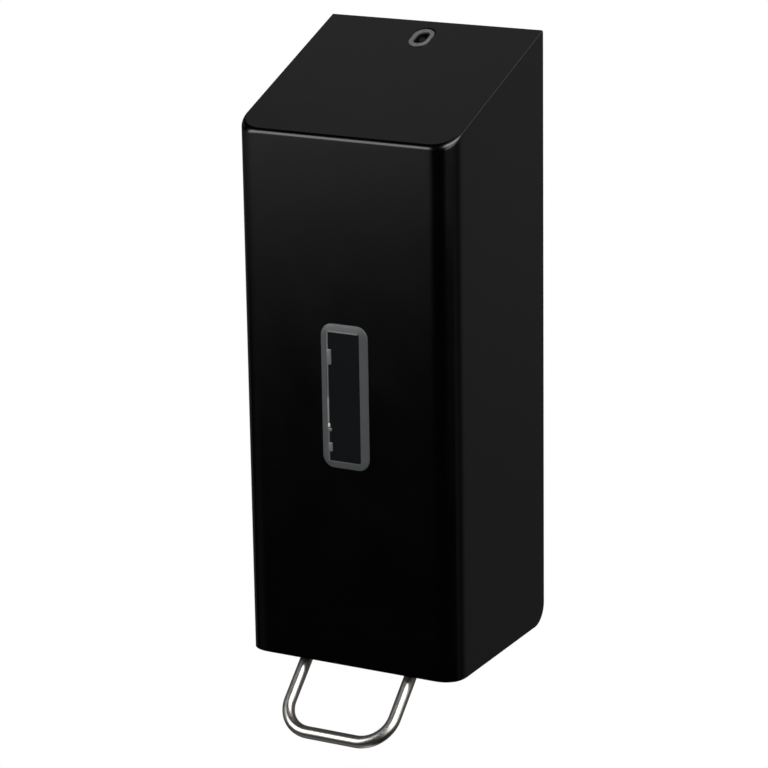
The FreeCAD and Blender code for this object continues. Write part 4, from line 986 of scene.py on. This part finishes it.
def end_tree(tree, start, end, geometry):
    """Make copies real and give the result its material."""
    realize = tree.nodes.new("GeometryNodeRealizeInstances")
    paint = tree.nodes.new("GeometryNodeSetMaterial")
    tree.links.new(geometry, realize.inputs["Geometry"])
    tree.links.new(realize.outputs["Geometry"], paint.inputs["Geometry"])
    tree.links.new(start.outputs["Material"], paint.inputs["Material"])
    tree.links.new(paint.outputs["Geometry"], end.inputs["Geometry"])


def bent_wire_tree():
    """Nodes that turn a path of corner points into a bent wire."""
    tree, start, end = group_with("bent_wire", (
        ("Wire Radius", "NodeSocketFloat"), ("Outer Bend", "NodeSocketFloat"),
        ("Inner Bend", "NodeSocketFloat"), ("Material", "NodeSocketMaterial")))
    nodes = tree.nodes
    links = tree.links
    to_curve = nodes.new("GeometryNodeMeshToCurve")
    place_in_path = nodes.new("GeometryNodeSplineParameter")
    # Points 2 and 3 of the path are the two ends of the bar, so both lie within 1 of its index 2.5.
    at_bar = nodes.new("ShaderNodeMath")
    at_bar.operation = "COMPARE"
    at_bar.inputs[1].default_value = bar_index
    at_bar.inputs[2].default_value = 1.0
    bend = nodes.new("ShaderNodeMix")
    bend.data_type = "FLOAT"
    fillet = nodes.new("GeometryNodeFilletCurve")
    fillet.mode = "POLY"
    fillet.inputs["Count"].default_value = bend_steps
    circle = nodes.new("GeometryNodeCurvePrimitiveCircle")
    circle.inputs["Resolution"].default_value = round_sides
    sweep = nodes.new("GeometryNodeCurveToMesh")
    sweep.inputs["Fill Caps"].default_value = True
    smooth = nodes.new("GeometryNodeSetShadeSmooth")
    links.new(start.outputs["Geometry"], to_curve.inputs["Mesh"])
    links.new(place_in_path.outputs["Index"], at_bar.inputs[0])
    links.new(at_bar.outputs[0], bend.inputs[0])
    links.new(start.outputs["Inner Bend"], bend.inputs[2])
    links.new(start.outputs["Outer Bend"], bend.inputs[3])
    links.new(to_curve.outputs["Curve"], fillet.inputs["Curve"])
    links.new(bend.outputs[0], fillet.inputs["Radius"])
    links.new(start.outputs["Wire Radius"], circle.inputs["Radius"])
    links.new(fillet.outputs["Curve"], sweep.inputs["Curve"])
    links.new(circle.outputs["Curve"], sweep.inputs["Profile Curve"])
    links.new(sweep.outputs["Mesh"], smooth.inputs["Geometry"])
    end_tree(tree, start, end, smooth.outputs["Geometry"])
    return tree


def run_nodes(piece, tree, values):
    """Apply a Geometry Nodes tree with values by input name, and leave a plain mesh."""
    modifier = piece.modifiers.new(tree.name, "NODES")
    modifier.node_group = tree
    for item in tree.interface.items_tree:
        if item.in_out == "INPUT" and item.name in values:
            modifier[item.identifier] = values[item.name]
    return apply_modifiers(piece)


def lever_point(x, along):
    """A point in the lever's plane, at a distance from the pivot's axis."""
    return pivot + Vector((x, -along * math.cos(lever_slope), -along * math.sin(lever_slope)))


lever_corners = [(-tail_half, 0), (-leg_half, 0), (-leg_half, lever_length),
                 (leg_half, lever_length), (leg_half, 0), (tail_half, 0)]
path_mesh = bpy.data.meshes.new("wire_path")
path_mesh.from_pydata([lever_point(x, along) for x, along in lever_corners],
                      [(index, index + 1) for index in range(len(lever_corners) - 1)], [])
wire_lever = link_object("wire_lever", path_mesh)
run_nodes(wire_lever, bent_wire_tree(), {"Wire Radius": wire / 2, "Outer Bend": bar_bend,
                                         "Inner Bend": upper_bend, "Material": drawn_steel})
place(wire_lever, "lever", "bow", slot="stainless")
print("wire lever:", len(wire_lever.data.polygons), "faces")

# %% [markdown]
# The bracket's screws
#
# Four equal screws hold the shelf bracket. Copies made by hand would all have to be changed together, so
# one screw is drawn in nodes and copied to four points. The head is a short cylinder cut by a ball to
# make it domed, and a cross of two bars is taken out of it. Where the bars overlap, the cut leaves the
# floor of the cross doubled, and its triangles can differ from run to run. A fitter never leaves the
# crosses in line, so each copy gets its own turn from a fixed seed.

# %% Screws
screw_low, screw_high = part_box("bracket_screws")
screw_head = 7.6 * mm
screw_shank = 4 * mm
head_height = 2.4 * mm
screw_apart = 26 * mm
screw_count = 4
screw_row = (screw_low.z + screw_high.z) / 2
screw_seat = screw_low.y + head_height
dome_share = 1.35
cross_length = 1.1
cross_width = 0.26


def cross_screw_tree():
    """Nodes that put a screw with a domed, crossed head on every point."""
    tree, start, end = group_with("cross_screw", (
        ("Head Radius", "NodeSocketFloat"), ("Head Height", "NodeSocketFloat"),
        ("Shank Radius", "NodeSocketFloat"), ("Shank Length", "NodeSocketFloat"),
        ("Seed", "NodeSocketInt"), ("Material", "NodeSocketMaterial")))
    nodes = tree.nodes
    links = tree.links

    def raised(geometry, height):
        """Geometry shifted along Z by a socket."""
        shift = nodes.new("ShaderNodeCombineXYZ")
        links.new(height, shift.inputs["Z"])
        carrier = nodes.new("GeometryNodeTransform")
        links.new(geometry, carrier.inputs["Geometry"])
        links.new(shift.outputs[0], carrier.inputs["Translation"])
        return carrier.outputs["Geometry"]

    def scaled(value, factor):
        """A socket times a number."""
        product = nodes.new("ShaderNodeMath")
        product.operation = "MULTIPLY"
        product.inputs[1].default_value = factor
        links.new(value, product.inputs[0])
        return product.outputs[0]

    def cylinder(radius, depth):
        """A cylinder about its own middle."""
        barrel = nodes.new("GeometryNodeMeshCylinder")
        barrel.inputs["Vertices"].default_value = round_sides
        links.new(radius, barrel.inputs["Radius"])
        links.new(depth, barrel.inputs["Depth"])
        return barrel.outputs["Mesh"]

    radius = start.outputs["Head Radius"]
    height = start.outputs["Head Height"]
    head = raised(cylinder(radius, height), scaled(height, 0.5))
    ball_radius = scaled(radius, dome_share)
    ball = nodes.new("GeometryNodeMeshUVSphere")
    ball.inputs["Segments"].default_value = round_sides
    ball.inputs["Rings"].default_value = round_sides
    links.new(ball_radius, ball.inputs["Radius"])
    ball_drop = nodes.new("ShaderNodeMath")
    ball_drop.operation = "SUBTRACT"
    links.new(height, ball_drop.inputs[0])
    links.new(ball_radius, ball_drop.inputs[1])
    dome = nodes.new("GeometryNodeMeshBoolean")
    dome.operation = "INTERSECT"
    links.new(head, dome.inputs["Mesh 2"])
    links.new(raised(ball.outputs["Mesh"], ball_drop.outputs[0]), dome.inputs["Mesh 2"])
    recess = nodes.new("GeometryNodeMeshBoolean")
    recess.operation = "DIFFERENCE"
    links.new(dome.outputs["Mesh"], recess.inputs["Mesh 1"])
    for along, across in (("X", "Y"), ("Y", "X")):
        size = nodes.new("ShaderNodeCombineXYZ")
        links.new(scaled(radius, cross_length), size.inputs[along])
        links.new(scaled(radius, cross_width), size.inputs[across])
        links.new(height, size.inputs["Z"])
        bar = nodes.new("GeometryNodeMeshCube")
        links.new(size.outputs[0], bar.inputs["Size"])
        links.new(raised(bar.outputs["Mesh"], height), recess.inputs["Mesh 2"])
    shank_depth = start.outputs["Shank Length"]
    shank = raised(cylinder(start.outputs["Shank Radius"], shank_depth), scaled(shank_depth, -0.5))
    screw = nodes.new("GeometryNodeJoinGeometry")
    links.new(recess.outputs["Mesh"], screw.inputs["Geometry"])
    links.new(shank, screw.inputs["Geometry"])
    twist = nodes.new("FunctionNodeRandomValue")
    twist.data_type = "FLOAT_VECTOR"
    twist.inputs["Min"].default_value = (math.pi / 2, 0, 0)
    twist.inputs["Max"].default_value = (math.pi / 2, math.pi / 2, 0)
    links.new(start.outputs["Seed"], twist.inputs["Seed"])
    copies = nodes.new("GeometryNodeInstanceOnPoints")
    links.new(start.outputs["Geometry"], copies.inputs["Points"])
    links.new(screw.outputs["Geometry"], copies.inputs["Instance"])
    links.new(twist.outputs["Value"], copies.inputs["Rotation"])
    end_tree(tree, start, end, copies.outputs["Instances"])
    return tree


screw_spots = bpy.data.meshes.new("screw_spots")
screw_spots.from_pydata([((step - (screw_count - 1) / 2) * screw_apart, screw_seat, screw_row)
                         for step in range(screw_count)], [], [])
screws = link_object("bracket_screws_look", screw_spots)
run_nodes(screws, cross_screw_tree(), {
    "Head Radius": screw_head / 2, "Head Height": head_height, "Shank Radius": screw_shank / 2,
    "Shank Length": screw_high.y - screw_seat, "Seed": 5, "Material": zinc_sheet})
place(screws, "wall_unit", "bracket_screws", slot="zinc_steel")
print("screws:", len(screws.data.polygons), "faces")

# %% [markdown]
# The pieces inside
#
# The plates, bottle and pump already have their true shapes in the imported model, so nothing is gained by
# drawing them again. Each gets a merged copy with soft shading and finely rounded edges, because a
# perfectly sharp edge never catches light. Only the bottle and the two thin valves are left unrounded.
# The finish follows what each piece is made of.

# %% Inner pieces

# Each node, its body, its finish, how far its edges are rounded in millimetres, and its slot.
inner_looks = (
    ("cover_catch", "cover", powder_coat, 0.2, "cover_black"),
    ("cover_hook_left", "cover", powder_coat, 0.15, "cover_black"),
    ("cover_hook_right", "cover", powder_coat, 0.15, "cover_black"),
    ("lock_retainer", "cover", black_plastic, 0.2, "black_plastic"),
    ("lock_plunger", "button", key_plastic, 0.2, "black_plastic"),
    ("back_plate", "wall_unit", zinc_sheet, 0.25, "zinc_steel"),
    ("hook_studs", "wall_unit", drawn_steel, 0.2, "stainless"),
    ("latch_rivets", "wall_unit", zinc_sheet, 0.1, "zinc_steel"),
    ("shelf_bracket", "wall_unit", zinc_sheet, 0.25, "zinc_steel"),
    ("pivot_bush_left", "wall_unit", white_plastic, 0.15, "white_plastic"),
    ("pivot_bush_right", "wall_unit", white_plastic, 0.15, "white_plastic"),
    ("bottle", "wall_unit", bottle_plastic, 0, "bottle_plastic"),
    ("bottle_lid", "wall_unit", white_plastic, 0.3, "white_plastic"),
    ("bottle_gasket", "wall_unit", soft_rubber, 0.15, "soft_rubber"),
    ("union_nut", "wall_unit", white_plastic, 0.25, "white_plastic"),
    ("pump_body", "wall_unit", white_plastic, 0.25, "white_plastic"),
    ("pump_guide", "wall_unit", white_plastic, 0.2, "white_plastic"),
    ("inlet_valve", "wall_unit", soft_rubber, 0, "soft_rubber"),
    ("pump_piston", "piston", white_plastic, 0.15, "white_plastic"),
    ("piston_seal", "piston", soft_rubber, 0.1, "soft_rubber"),
    ("pump_collar", "piston", white_plastic, 0.2, "white_plastic"),
    ("nozzle", "piston", white_plastic, 0.2, "white_plastic"),
    ("outlet_valve", "piston", soft_rubber, 0, "soft_rubber"),
    ("lever_yoke", "lever", black_plastic, 0.3, "black_plastic"),
    ("push_nuts", "lever", zinc_sheet, 0.1, "zinc_steel"),
)
for node, body, material, bevel, slot_name in inner_looks:
    refined(node, body, material, bevel * mm, slot_name)
print("inner pieces:", len(inner_looks))

# %% [markdown]
# The pieces that flex
#
# The bellows shortens as the pump's collar rises, and the latch spring gives as the button is pressed.
# Shape keys could bend them, but each has to follow a joint. Here both are copies as before, each with a
# mesh of its own, riding on the wall unit, and they are not squashed. The spring is held at its rivets.

# %% Flexing pieces
bellows = refined("pump_bellows", "wall_unit", soft_rubber, 0, "soft_rubber")
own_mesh(bellows)
spring = refined("latch_spring", "wall_unit", drawn_steel, 0, "stainless")
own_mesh(spring)
